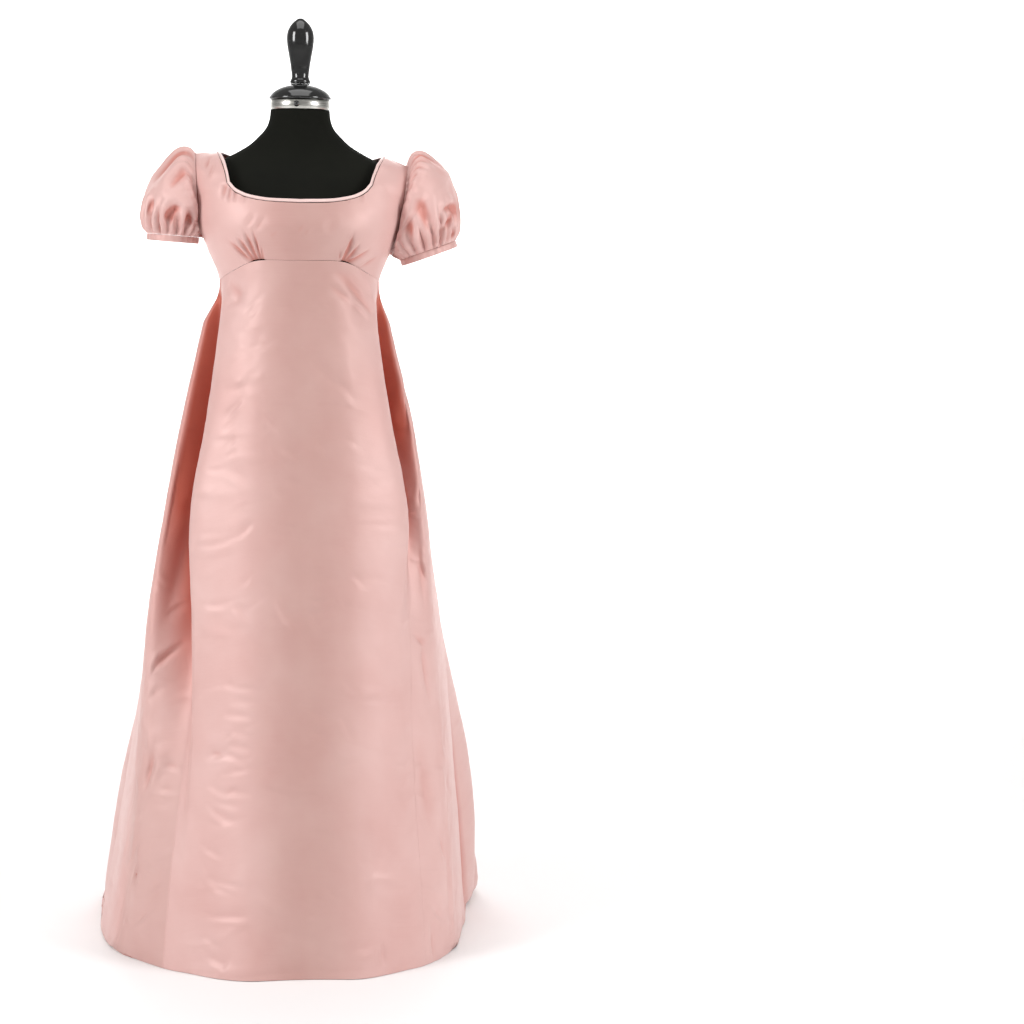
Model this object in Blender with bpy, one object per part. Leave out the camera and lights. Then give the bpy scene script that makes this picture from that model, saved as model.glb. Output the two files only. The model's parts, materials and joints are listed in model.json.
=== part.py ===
"""Regency gown on a limbless dress form, in metres, +Z up, the gown's front facing -Y.

The origin is on the floor, at the centre of the stand's base. Left and right are the wearer's:
the gown's left side is at +X. Every panel of cloth is one closed wall with a hollow behind it.
"""

import math

import bpy
import numpy as np

# ---- Cloth ----
CLOTH = 0.0020  # wall of the skirt and the bodice
SLEEVE_CLOTH = 0.0015  # wall of the sleeves
SEAM_GAP = 0.0003  # between pieces at a seam
HALF_GAP = SEAM_GAP / 2

# ---- Torso that the bodice follows: one row a level ----
# Columns: height, half_width, front, back
TORSO = (
    (1.100, 0.129, 0.102, 0.088),
    (1.140, 0.133, 0.107, 0.090),
    (1.180, 0.149, 0.124, 0.094),
    (1.215, 0.162, 0.137, 0.097),
    (1.250, 0.170, 0.131, 0.098),
    (1.290, 0.172, 0.112, 0.094),
    (1.310, 0.172, 0.098, 0.088),
)
TORSO_SQUARENESS = 2.2  # 2 is an ellipse

# ---- Waist seam and the bodice's top edge, by angle from the centre front ----
# Columns: angle, height
WAIST = (
    (0, 1.168),
    (28, 1.166),
    (50, 1.150),
    (75, 1.136),
    (90, 1.130),
    (120, 1.118),
    (150, 1.112),
    (180, 1.112),
)
# Columns: angle, height
CHEST = (
    (0, 1.2595),
    (20, 1.2630),
    (31, 1.2705),
    (37, 1.2790),
    (41, 1.2890),
    (58, 1.2720),
    (76, 1.2450),
    (84, 1.2200),
    (96, 1.2050),
    (115, 1.2080),
    (136, 1.2480),
    (152, 1.2740),
    (167, 1.2900),
    (180, 1.2820),
)
NECK_CORNER = 41  # angles where the straps' bases begin and end
FRONT_ARMHOLE = 76
SIDE_SEAM = 90
BACK_ARMHOLE = 136
BACK_NECK = 167
CENTRE_BACK = 180

# ---- Shoulders: where each strap's two edges end at the shoulder seam ----
# Columns: side, neck_x, neck_z, tip_x, tip_z
SHOULDERS = (
    (+1, 0.1410, 1.3390, 0.1775, 1.3240),
    (-1, 0.1360, 1.3430, 0.1705, 1.3400),
)
TIP_Y = 0.004
STRAP_TURNS = (1.300, 1.342)  # heights between which the neck edge's outside turns upwards
TIP_TURNS = (1.295, 1.335)  # the same along the armhole
# Columns: share, in_x, y, drop
# Each edge of a strap between its base and the shoulder: share of the way in x, its y, and how far it
# is below the shoulder's end.
FRONT_NECK_EDGE = ((0.25, -0.0690, 0.0330), (0.55, -0.0490, 0.0170), (0.82, -0.0260, 0.0060))
FRONT_ARM_EDGE = ((0.30, -0.044, 0.060), (0.70, -0.030, 0.0240))
BACK_NECK_EDGE = ((0.26, 0.0830, 0.0350), (0.58, 0.0640, 0.0155))
BACK_ARM_EDGE = ((0.18, 0.0760, 0.0500), (0.62, 0.0450, 0.0180))

# ---- Skirt sections: one row a level, for the half on each side ----
SECTION_COLUMNS = (
    "height", "front_y", "panel_x", "panel_y", "valley_x", "valley_y",
    "outer_x", "outer_y", "side_x", "side_y", "back_x", "back_y", "centre_y",
)
SKIRT_RIGHT = (
    (1.17, -0.108, 0.122, -0.040, 0.128, -0.022, 0.131, -0.008, 0.130, 0.020, 0.090, 0.075, 0.092),
    (1.05, -0.112, 0.131, -0.054, 0.122, -0.004, 0.156, -0.010, 0.160, 0.032, 0.120, 0.100, 0.122),
    (0.92, -0.119, 0.149, -0.064, 0.130, 0.010, 0.182, -0.014, 0.188, 0.038, 0.150, 0.124, 0.152),
    (0.75, -0.129, 0.177, -0.072, 0.158, 0.006, 0.212, -0.020, 0.220, 0.040, 0.186, 0.162, 0.194),
    (0.58, -0.139, 0.174, -0.082, 0.166, -0.012, 0.238, -0.024, 0.246, 0.048, 0.220, 0.208, 0.246),
    (0.38, -0.151, 0.172, -0.102, 0.182, -0.062, 0.250, -0.030, 0.272, 0.056, 0.254, 0.264, 0.322),
    (0.18, -0.163, 0.178, -0.118, 0.205, -0.092, 0.268, -0.042, 0.302, 0.060, 0.288, 0.334, 0.432),
    (0.00, -0.176, 0.182, -0.130, 0.220, -0.104, 0.284, -0.032, 0.331, 0.048, 0.318, 0.410, 0.580),
)
SKIRT_LEFT = (
    (1.17, -0.108, 0.122, -0.040, 0.128, -0.022, 0.131, -0.008, 0.130, 0.020, 0.090, 0.075, 0.092),
    (1.05, -0.112, 0.128, -0.052, 0.121, -0.004, 0.150, -0.010, 0.153, 0.032, 0.120, 0.100, 0.122),
    (0.92, -0.119, 0.147, -0.062, 0.132, 0.008, 0.178, -0.014, 0.183, 0.038, 0.148, 0.124, 0.152),
    (0.75, -0.129, 0.178, -0.072, 0.174, -0.022, 0.205, -0.032, 0.214, 0.036, 0.184, 0.162, 0.194),
    (0.58, -0.139, 0.166, -0.094, 0.184, -0.070, 0.218, -0.036, 0.237, 0.040, 0.216, 0.208, 0.246),
    (0.38, -0.151, 0.168, -0.108, 0.190, -0.084, 0.236, -0.040, 0.259, 0.048, 0.246, 0.264, 0.322),
    (0.18, -0.163, 0.174, -0.120, 0.202, -0.096, 0.248, -0.048, 0.275, 0.054, 0.276, 0.334, 0.432),
    (0.00, -0.176, 0.182, -0.130, 0.214, -0.106, 0.258, -0.042, 0.286, 0.044, 0.298, 0.410, 0.580),
)
SECTIONS = {+1: SKIRT_LEFT, -1: SKIRT_RIGHT}
# Girth runs from 0 at the centre front to 1 at the centre back. These are the girths of the section's
# points, and the angle of each on the waist seam.
GIRTH = (0.0, 0.15, 0.27, 0.35, 0.44, 0.57, 0.78, 1.0)
WAIST_ANGLE = (0, 38, 66, 79, 88, 100, 130, 180)
SEAM_GIRTH = 0.35
WAIST_HOLD = 0.07  # how far down the skirt takes the waist seam's own outline

# ---- Train: where the cloth's edge lies on the floor ----
# Columns: girth, right_x, left_x, edge_y
TRAIN = (
    (0.44, 0.304, 0.258, -0.010),
    (0.51, 0.338, 0.282, 0.120),
    (0.59, 0.350, 0.297, 0.270),
    (0.68, 0.353, 0.305, 0.440),
    (0.78, 0.316, 0.284, 0.610),
    (0.89, 0.187, 0.176, 0.755),
    (1.00, 0.000, 0.000, 0.800),
)
TRAIN_GROWS = 0.055  # girth to each side of the first row over which the train begins
FLOOR_BEND = 0.20  # most length over which the cloth turns from falling to lying
SHORT = 0.004  # a train shorter than this is none
FALL_SHARE = 0.76  # share of the rows that fall, where there is a train
TRAIN_START = (0.40, 0.54)  # girths between which the rows part into falling and lying ones

# ---- Folds of the skirt, one row a fold ----
# Columns: side, girth, width, depth, start, full, end
# girth and width of the trough, its depth, and the lengths below the waist seam where it starts, is
# deepest and ends. A negative depth stands out.
FOLDS = (
    (+1, 0.984, 0.012, 0.020, 0.00, 0.35, 1.10),
    (+1, 0.955, 0.010, -0.010, 0.00, 0.30, 1.05),
    (+1, 0.925, 0.013, 0.022, 0.00, 0.40, 1.20),
    (+1, 0.895, 0.011, -0.010, 0.00, 0.35, 1.15),
    (+1, 0.862, 0.014, 0.024, 0.00, 0.40, 1.15),
    (+1, 0.740, 0.040, -0.030, 0.45, 0.95, 1.50),
    (+1, 0.660, 0.026, 0.022, 0.55, 0.95, 1.35),
    (-1, 0.975, 0.011, -0.010, 0.00, 0.30, 1.10),
    (-1, 0.948, 0.013, 0.022, 0.00, 0.40, 1.25),
    (-1, 0.907, 0.014, 0.026, 0.00, 0.45, 1.20),
    (-1, 0.880, 0.010, -0.008, 0.00, 0.35, 1.00),
    (-1, 0.853, 0.014, 0.022, 0.00, 0.40, 1.10),
    (-1, 0.760, 0.036, -0.026, 0.50, 1.00, 1.50),
    (-1, 0.680, 0.026, 0.020, 0.55, 0.95, 1.35),
)

# ---- Sleeves ----
# Columns: along, out, y, z, turn, across, deep
# Along the sleeve: its centre, how far the section has turned from upright, and its half sizes.
SLEEVE_LEFT = (
    (0.00, 0.158, 0.022, 1.272, 0, 0.066, 0.062),
    (0.14, 0.170, 0.020, 1.274, 14, 0.077, 0.073),
    (0.35, 0.186, 0.017, 1.262, 30, 0.083, 0.082),
    (0.60, 0.198, 0.012, 1.242, 47, 0.078, 0.082),
    (0.82, 0.207, 0.008, 1.214, 62, 0.066, 0.070),
    (0.94, 0.211, 0.006, 1.196, 69, 0.054, 0.054),
    (1.00, 0.212, 0.005, 1.187, 70, 0.049, 0.048),
)
# The right sleeve is pushed up: shorter, and its cuff looks straight down.
SLEEVE_RIGHT = (
    (0.00, 0.158, 0.022, 1.272, 0, 0.066, 0.062),
    (0.14, 0.168, 0.020, 1.276, 16, 0.077, 0.073),
    (0.35, 0.186, 0.017, 1.268, 36, 0.066, 0.080),
    (0.60, 0.200, 0.012, 1.250, 58, 0.060, 0.079),
    (0.82, 0.206, 0.008, 1.228, 76, 0.051, 0.070),
    (0.94, 0.207, 0.006, 1.214, 84, 0.045, 0.057),
    (1.00, 0.2075, 0.005, 1.206, 86, 0.0425, 0.0535),
)
SLEEVES = {+1: SLEEVE_LEFT, -1: SLEEVE_RIGHT}
SLEEVE_GATHERS = 11
SLEEVE_GATHER_DEPTH = 0.0045
SLEEVE_CLEAR = 0.006  # from the bodice's side
SLEEVE_LEAVE = 0.22  # share of the sleeve over which it leaves the armhole's own outline
BAND_HEIGHT = 0.011
BAND_CLOTH = 0.0024

# ---- Neck binding ----
BINDING_WIDTH = 0.0052
BINDING_CLOTH = 0.0032
BINDING_STATIONS = 72

# ---- Drawstring, by points of its route ----
CORD_DIAMETER = 0.0030
STRING_ENDS = (
    (-0.021, 0.1045, 1.262),
    (-0.014, 0.1070, 1.270),
    (-0.005, 0.1085, 1.279),
    (0.004, 0.1095, 1.284),
    (0.016, 0.1085, 1.281),
    (0.027, 0.1055, 1.271),
    (0.034, 0.1035, 1.256),
    (0.038, 0.1030, 1.236),
    (0.041, 0.1025, 1.210),
    (0.044, 0.1010, 1.180),
    (0.047, 0.0985, 1.150),
    (0.050, 0.1010, 1.122),
    (0.053, 0.1120, 1.102),
)
STRING_LOOP = (
    (-0.020, 0.0862, 1.286),
    (-0.029, 0.0790, 1.299),
    (-0.039, 0.0722, 1.312),
    (-0.048, 0.0670, 1.321),
    (-0.055, 0.0660, 1.322),
    (-0.058, 0.0685, 1.315),
    (-0.055, 0.0722, 1.306),
    (-0.050, 0.0765, 1.297),
)
KNOT_RADIUS = 0.0042

# ---- Dress form ----
# Columns: height, half_width, front, back
FORM = (
    (0.790, 0.060, 0.040, 0.040),
    (0.794, 0.100, 0.066, 0.066),
    (0.806, 0.124, 0.082, 0.082),
    (0.840, 0.128, 0.090, 0.092),
    (0.900, 0.124, 0.090, 0.094),
    (0.970, 0.112, 0.084, 0.086),
    (1.040, 0.106, 0.080, 0.074),
    (1.100, 0.112, 0.086, 0.074),
    (1.140, 0.119, 0.094, 0.076),
    (1.180, 0.134, 0.108, 0.080),
    (1.215, 0.146, 0.120, 0.083),
    (1.250, 0.154, 0.116, 0.084),
    (1.280, 0.157, 0.101, 0.081),
    (1.305, 0.154, 0.082, 0.072),
    (1.320, 0.144, 0.066, 0.064),
    (1.331, 0.125, 0.057, 0.057),
    (1.342, 0.104, 0.051, 0.053),
    (1.354, 0.084, 0.048, 0.050),
    (1.368, 0.0685, 0.047, 0.050),
    (1.382, 0.0560, 0.0465, 0.0490),
    (1.398, 0.0500, 0.0470, 0.0485),
    (1.412, 0.0485, 0.0475, 0.0480),
)
NECK_CENTRE_Y = 0.0
# Columns: height, radius
NECK_BAND = ((1.4125, 0.0480), (1.4135, 0.0492), (1.4275, 0.0492), (1.4285, 0.0480))
NECK_CAP = (
    (1.4290, 0.0470), (1.4295, 0.0512), (1.4320, 0.0520), (1.4345, 0.0508), (1.4390, 0.0480),
    (1.4440, 0.0430), (1.4490, 0.0350), (1.4530, 0.0240), (1.4545, 0.0170),
)
HANDLE = (
    (1.4550, 0.0160), (1.4590, 0.0172), (1.4640, 0.0150), (1.4800, 0.0158), (1.5000, 0.0190),
    (1.5180, 0.0222), (1.5300, 0.0230), (1.5400, 0.0215), (1.5500, 0.0165), (1.5570, 0.0100),
    (1.5610, 0.0045),
)
POLE = ((0.0255, 0.0140), (0.7895, 0.0140))
BASE = ((0.0000, 0.1150), (0.0080, 0.1190), (0.0180, 0.1150), (0.0240, 0.0500), (0.0250, 0.0300))
BAND_KNOB = ((0.0, 0.0042), (0.0050, 0.0048), (0.0080, 0.0030))
ROUND = 32  # sides of a turned piece

ROSE = (0.74, 0.44, 0.41)
ROSE_TRIM = (0.86, 0.66, 0.62)
BLACK_CLOTH = (0.010, 0.010, 0.009)
BLACK_GLOSS = (0.006, 0.006, 0.006)
SILVER = (0.62, 0.61, 0.57)
POLE_STEEL = (0.45, 0.45, 0.45)


def clear_scene():
    for found in list(bpy.data.objects):
        bpy.data.objects.remove(found, do_unlink=True)


def material(name, colour, roughness, metallic=0.0):
    made = bpy.data.materials.new(name)
    made.use_nodes = True
    shader = made.node_tree.nodes["Principled BSDF"]
    shader.inputs["Base Color"].default_value = (*colour, 1.0)
    shader.inputs["Roughness"].default_value = roughness
    shader.inputs["Metallic"].default_value = metallic
    made.diffuse_color = (*colour, 1.0)
    return made


def add_solid(name, points, faces, look, sharp=math.radians(50)):
    mesh = bpy.data.meshes.new(name)
    mesh.from_pydata([tuple(map(float, p)) for p in points], [], [tuple(map(int, f)) for f in faces])
    mesh.update()
    mesh.shade_smooth()
    mesh.set_sharp_from_angle(angle=sharp)
    mesh.materials.append(look)
    solid = bpy.data.objects.new(name, mesh)
    bpy.context.scene.collection.objects.link(solid)
    return solid


# ---- Curves and surfaces ----
def through(knots, values):
    """A smooth function of the knot through the values given at increasing knots."""
    knots = np.asarray(knots, float)
    values = np.asarray(values, float)
    slopes = np.gradient(values, knots, axis=0)

    def at(where):
        where = np.clip(np.asarray(where, float), knots[0], knots[-1])
        i = np.clip(np.searchsorted(knots, where, side="right") - 1, 0, len(knots) - 2)
        span = knots[i + 1] - knots[i]
        u = (where - knots[i]) / span
        shape = u.shape + (1,) * (values.ndim - 1)
        u, span = u.reshape(shape), span.reshape(shape)
        rise = u * u * (3 - 2 * u)
        return (
            values[i] * (1 - rise)
            + values[i + 1] * rise
            + slopes[i] * span * u * (1 - u) ** 2
            - slopes[i + 1] * span * u * u * (1 - u)
        )

    return at


def smoothstep(low, high, value):
    t = np.clip((np.asarray(value, float) - low) / (high - low), 0, 1)
    return t * t * (3 - 2 * t)


def unit(vectors):
    return vectors / np.maximum(np.linalg.norm(vectors, axis=-1, keepdims=True), 1e-12)


def path_lengths(points):
    """The length of the path up to each of its points."""
    return np.concatenate([[0], np.cumsum(np.linalg.norm(np.diff(points, axis=0), axis=1))])


def at_lengths(points, wanted):
    lengths = path_lengths(points)
    return np.column_stack([np.interp(wanted, lengths, points[:, k]) for k in range(3)])


def spread(points, count):
    """The path with this many points, evenly far apart."""
    return at_lengths(points, np.linspace(0, path_lengths(points)[-1], count))


def grid_normals(grid, closed=False):
    """Outward normals of a grid whose rows go up and whose columns go round anticlockwise from above."""
    if closed:
        padded = np.concatenate([grid[:, -1:], grid, grid[:, :1]], axis=1)
        along = (padded[:, 2:] - padded[:, :-2]) / 2
    else:
        along = np.gradient(grid, axis=1)
    up = np.gradient(grid, axis=0)
    return unit(np.cross(along, up))


def grid_faces(rows, columns, closed=False, first=0):
    faces = []
    for r in range(rows - 1):
        for c in range(columns if closed else columns - 1):
            d = (c + 1) % columns
            faces.append((first + r * columns + c, first + r * columns + d,
                          first + (r + 1) * columns + d, first + (r + 1) * columns + c))
    return faces


def rim_edges(faces):
    """The edges with one face, in the direction in which that face runs."""
    edges = [(f[i], f[(i + 1) % len(f)]) for f in faces for i in range(len(f))]
    known = set(edges)
    return [(a, b) for a, b in edges if (b, a) not in known]


def halved(points, faces):
    """Each four-sided face as two triangles, along its shorter diagonal."""
    halves = []
    for a, b, c, d in faces:
        if np.linalg.norm(points[a] - points[c]) <= np.linalg.norm(points[b] - points[d]):
            halves += [(a, b, c), (a, c, d)]
        else:
            halves += [(b, c, d), (b, d, a)]
    return halves


def add_wall(name, points, normals, faces, wall, look):
    """A closed wall: the faces, the same faces moved in by the wall, and a rim that joins the two.

    The faces are halved first, so that both sides of the wall bend along the same lines."""
    faces = halved(points, faces)
    inner = points - normals * wall
    lift = np.maximum(-inner[:, 2:], 0.0) * np.array((0.0, 0.0, 1.0))
    inner, outer = inner + lift, points + lift
    count = len(points)
    back = [tuple(count + i for i in reversed(f)) for f in faces]
    rim = [(b, a, count + a, count + b) for a, b in rim_edges(faces)]
    return add_solid(name, np.concatenate([outer, inner]), faces + back + rim, look)


# ---- Bodice ----
torso_at = through([row[0] for row in TORSO], [row[1:] for row in TORSO])
waist_at = through([row[0] for row in WAIST], [row[1] for row in WAIST])
chest_at = through([row[0] for row in CHEST], [row[1] for row in CHEST])


def torso_point(angle, height):
    """A point of the bodice's outside, at an angle from the centre front, positive towards +X."""
    half_width, front, back = np.moveaxis(torso_at(height), -1, 0)
    turn = np.radians(angle)
    s, c = np.sin(turn), np.cos(turn)
    power = 2 / TORSO_SQUARENESS
    x = half_width * np.sign(s) * np.abs(s) ** power
    depth = np.where(c > 0, front, back)
    y = -depth * np.sign(c) * np.abs(c) ** power
    return np.stack([x, y, np.broadcast_to(height, x.shape)], axis=-1)


def torso_half_width(y, height):
    """How far out the bodice's side is at a depth y."""
    half_width, front, back = np.moveaxis(torso_at(height), -1, 0)
    share = np.clip(np.abs(y) / np.where(y < 0, front, back), 0, 1)
    return half_width * (1 - share**TORSO_SQUARENESS) ** (1 / TORSO_SQUARENESS)


def shoulder(side):
    """The shoulder seam's two ends, at the neck and at the sleeve."""
    row = next(r for r in SHOULDERS if r[0] == side)
    neck = np.array((side * row[1], 0.0, row[2]))
    tip = np.array((side * row[3], TIP_Y, row[4]))
    return neck, tip


def strap_edge(start, end, between):
    """A strap's edge, from its base to the shoulder seam, as a function of 0 to 1."""
    points = [start]
    for share, y, below in between:
        straight = start + (end - start) * share
        points.append(np.array((straight[0], y, end[2] - below)))
    points.append(end)
    points = np.array(points)
    knots = path_lengths(points)
    return through(knots / knots[-1], points)


def strap_edges(side, back):
    neck, tip = shoulder(side)
    if back:
        at_neck, at_arm = BACK_NECK, BACK_ARMHOLE
        neck_rows, arm_rows = BACK_NECK_EDGE, BACK_ARM_EDGE
        lift = np.array((0, HALF_GAP, 0))
    else:
        at_neck, at_arm = NECK_CORNER, FRONT_ARMHOLE
        neck_rows, arm_rows = FRONT_NECK_EDGE, FRONT_ARM_EDGE
        lift = np.array((0, -HALF_GAP, 0))
    base_neck = torso_point(side * at_neck, chest_at(at_neck))
    base_arm = torso_point(side * at_arm, chest_at(at_arm))
    return (
        strap_edge(base_neck, neck + lift, neck_rows),
        strap_edge(base_arm, tip + lift, arm_rows),
    )


def strap_grid(side, back, base, rows):
    """Rows of points from the strap's base to the shoulder seam, each running as the base runs."""
    neck_edge, arm_edge = strap_edges(side, back)
    first, last = (neck_edge, arm_edge)
    if np.linalg.norm(base[0] - neck_edge(0.0)) > np.linalg.norm(base[-1] - neck_edge(0.0)):
        first, last = arm_edge, neck_edge
    across = np.linspace(0, 1, len(base))[:, None]
    top = first(1.0) * (1 - across) + last(1.0) * across
    grid = []
    for v in np.linspace(0, 1, rows):
        left, right = first(v), last(v)
        ruled = base * (1 - v) + top * v
        sides = left * (1 - across) + right * across
        corners = (
            (base[0] * (1 - across) + base[-1] * across) * (1 - v)
            + (top[0] * (1 - across) + top[-1] * across) * v
        )
        grid.append(ruled + sides - corners)
    return np.array(grid)


def bodice_surface(angles, band_rows, strap_rows, straps):
    """Points and faces of a bodice piece, the band up to the chest line and a strap on each base, and
    the points on the shoulder seams."""
    angles = np.asarray(angles, float)
    low = waist_at(np.abs(angles)) + HALF_GAP
    high = chest_at(np.abs(angles))
    shares = np.linspace(0, 1, band_rows)[:, None]
    band = torso_point(angles[None, :], low * (1 - shares) + high * shares)
    points = list(band.reshape(-1, 3))
    faces = grid_faces(band_rows, len(angles))
    top_row = (band_rows - 1) * len(angles)
    shoulders = []
    for side, back, low_angle, high_angle in straps:
        found = [i for i, a in enumerate(angles) if low_angle - 0.01 <= a <= high_angle + 0.01]
        grid = strap_grid(side, back, band[-1, found], strap_rows)
        ids = [[top_row + i for i in found]]
        for row in grid[1:]:
            ids.append(list(range(len(points), len(points) + len(row))))
            points.extend(row)
        for r in range(strap_rows - 1):
            for c in range(len(found) - 1):
                faces.append((ids[r][c], ids[r][c + 1], ids[r + 1][c + 1], ids[r + 1][c]))
        shoulders.extend(ids[-1])
    return np.array(points), faces, shoulders


def face_normals_at_points(points, faces):
    normals = np.zeros_like(points)
    for face in faces:
        a, b, c, d = (points[i] for i in face)
        normal = np.cross(c - a, d - b)
        for i in face:
            normals[i] += normal
    return unit(normals)


def angle_steps(*stretches):
    """Angles of a run of stretches (start, end, steps), each share of a stretch evenly far apart."""
    found = [stretches[0][0]]
    for start, end, steps in stretches:
        found.extend(start + (end - start) * (k + 1) / steps for k in range(steps))
    return found


def add_bodice_piece(name, angles, rows, strap_rows, straps, look):
    """One piece of the bodice. Its edges at a seam stand half of the seam's gap back, and the wall
    there runs along the seam, so that the next piece meets it face to face."""
    points, faces, shoulders = bodice_surface(angles, rows, strap_rows, straps)
    normals = face_normals_at_points(points, faces)
    columns = len(angles)
    for column, inward in ((0, 1), (columns - 1, -1)):
        along_x = abs(angles[column]) == SIDE_SEAM
        for i in range(column, rows * columns, columns):
            points[i] += unit(points[i + inward] - points[i]) * HALF_GAP
            normals[i, 1 if along_x else 0] = 0.0
    normals[shoulders, 1] = 0.0
    add_wall(name, points, unit(normals), faces, CLOTH, look)


def build_bodice(look):
    rows, strap_rows = 6, 6
    half = angle_steps((0, NECK_CORNER, 7), (NECK_CORNER, FRONT_ARMHOLE, 4), (FRONT_ARMHOLE, SIDE_SEAM, 2))
    front = [-a for a in reversed(half[1:])] + half
    straps = ((-1, False, -FRONT_ARMHOLE, -NECK_CORNER), (+1, False, NECK_CORNER, FRONT_ARMHOLE))
    add_bodice_piece("bodice_front", front, rows, strap_rows, straps, look)
    back = angle_steps(
        (SIDE_SEAM, BACK_ARMHOLE, 5), (BACK_ARMHOLE, BACK_NECK, 5), (BACK_NECK, CENTRE_BACK, 2)
    )
    for side, name in ((+1, "bodice_back_left"), (-1, "bodice_back_right")):
        angles = back if side > 0 else [-a for a in reversed(back)]
        ends = sorted((side * BACK_ARMHOLE, side * BACK_NECK))
        add_bodice_piece(name, angles, rows, strap_rows, ((side, True, *ends),), look)


def neckline(steps):
    """The neck edge from the centre back round the gown's left side, the front and its right side."""
    parts = []
    for side in (+1, -1):
        back_edge, _ = strap_edges(side, True)
        front_edge, _ = strap_edges(side, False)
        shares = np.linspace(0, 1, steps)
        back_angles = np.linspace(CENTRE_BACK, BACK_NECK, max(steps // 3, 2))
        front_angles = np.linspace(NECK_CORNER, 0, steps)
        parts.append(
            np.concatenate([
                torso_point(side * back_angles, chest_at(back_angles))[:-1],
                back_edge(shares)[:-1],
                front_edge(shares[::-1]),
                torso_point(side * front_angles, chest_at(front_angles))[1:],
            ])
        )
    left, right = parts
    return np.concatenate([left, right[::-1][1:]])


def neck_directions(path):
    """Along the neck edge: the way out of the cloth, and the way past the edge."""
    along = unit(np.gradient(path, axis=0))
    rise = smoothstep(*STRAP_TURNS, path[:, 2])[:, None]
    level = unit(path * np.array((0.45, 1.0, 0.0)))
    out = unit(level * (1 - 0.9 * rise) + np.array((0.0, 0.0, 1.0)) * rise)
    past = unit(np.cross(along, out))
    return unit(np.cross(past, along)), past


def build_binding(look):
    path = spread(neckline(20), BINDING_STATIONS)
    out, past = neck_directions(path)
    if past[BINDING_STATIONS // 2, 2] < 0:
        past = -past
    along = unit(np.gradient(path, axis=0))
    path[0] += along[0] * HALF_GAP
    path[-1] -= along[-1] * HALF_GAP
    near = SEAM_GAP * 3
    far = near + BINDING_WIDTH
    lift = (BINDING_CLOTH - CLOTH) / 2
    corners = ((near, lift), (near + 0.001, lift + 0.0008), (far - 0.001, lift + 0.0008), (far, lift),
               (far, lift - BINDING_CLOTH), (near, lift - BINDING_CLOTH))
    rings = [path + past * a + out * b for a, b in corners]
    count, sides = len(path), len(corners)
    points = np.stack(rings, axis=1).reshape(-1, 3)
    faces = []
    for r in range(count - 1):
        for c in range(sides):
            d = (c + 1) % sides
            faces.append((r * sides + c, (r + 1) * sides + c, (r + 1) * sides + d, r * sides + d))
    faces.append(tuple(range(sides)))
    faces.append(tuple((count - 1) * sides + c for c in reversed(range(sides))))
    add_facing_out("neck_binding", points, faces, look)


def add_facing_out(name, points, faces, look):
    """Adds a solid, turning its faces over if they enclose a negative volume."""
    volume = 0.0
    for face in faces:
        for k in range(1, len(face) - 1):
            a, b, c = points[face[0]], points[face[k]], points[face[k + 1]]
            volume += float(np.dot(a, np.cross(b, c)))
    if volume < 0:
        faces = [tuple(reversed(f)) for f in faces]
    return add_solid(name, points, faces, look)


# ---- Skirt ----
section_at = {
    side: through([r[0] for r in reversed(rows)], [r[1:] for r in reversed(rows)])
    for side, rows in SECTIONS.items()
}
waist_angle_at = through(GIRTH, WAIST_ANGLE)
train_at = through([row[0] for row in TRAIN], [row[1:] for row in TRAIN])


def section_points(side, heights):
    """The section's points at each height, from the centre front to the centre back, with one more
    past each end that mirrors its neighbour."""
    row = dict(zip(SECTION_COLUMNS[1:], np.moveaxis(section_at[side](heights), -1, 0)))
    zero = np.zeros_like(heights)
    points = [
        (zero, row["front_y"]),
        (row["panel_x"] * 0.62, row["front_y"] * 0.86 + row["panel_y"] * 0.14),
        (row["panel_x"], row["panel_y"]),
        (row["valley_x"], row["valley_y"]),
        (row["outer_x"], row["outer_y"]),
        (row["side_x"], row["side_y"]),
        (row["back_x"], row["back_y"]),
        (zero, row["centre_y"]),
    ]
    points = [np.stack(p, axis=-1) for p in points]
    mirror = np.array((-1.0, 1.0))
    points = [points[1] * mirror, *points, points[-2] * mirror]
    knots = (-GIRTH[1], *GIRTH, 2 * GIRTH[-1] - GIRTH[-2])
    return through(knots, np.array(points))


def train_edge(side, girth, contact):
    """Where the cloth's edge lies for a girth: past the floor's contact, from the side back."""
    first = TRAIN[0][0]
    share = smoothstep(first - TRAIN_GROWS, first + TRAIN_GROWS, girth)
    right_x, left_x, edge_y = train_at(max(girth, first))
    edge = np.array((left_x if side > 0 else right_x, edge_y))
    return contact * (1 - share) + edge * share


def meridian(side, girth, samples=90):
    """The skirt's line of one girth, from the waist seam to the hem or the train's edge, and the
    length of it that falls."""
    angle = float(waist_angle_at(girth))
    top = torso_point(side * angle, float(waist_at(angle)))
    top[2] -= HALF_GAP
    heights = np.linspace(top[2], 0.0, samples)
    level = section_points(side, heights)(girth)
    hold = 1 - smoothstep(0, WAIST_HOLD, top[2] - heights)[:, None]
    level = level * (1 - hold) + np.array((abs(top[0]), top[1])) * hold
    path = np.column_stack([level, heights])
    fall_length = path_lengths(path)[-1]
    contact = level[-1]
    edge = train_edge(side, girth, contact)
    lying = np.linalg.norm(edge - contact)
    if lying > SHORT:
        path = np.concatenate([path, [(*edge, 0.0)]])
    path = spread(path, samples * 3)
    if lying > SHORT:
        path = ease_bend(path, contact, min(lying, FLOOR_BEND))
    path[:, 0] *= side
    return path, fall_length


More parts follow.
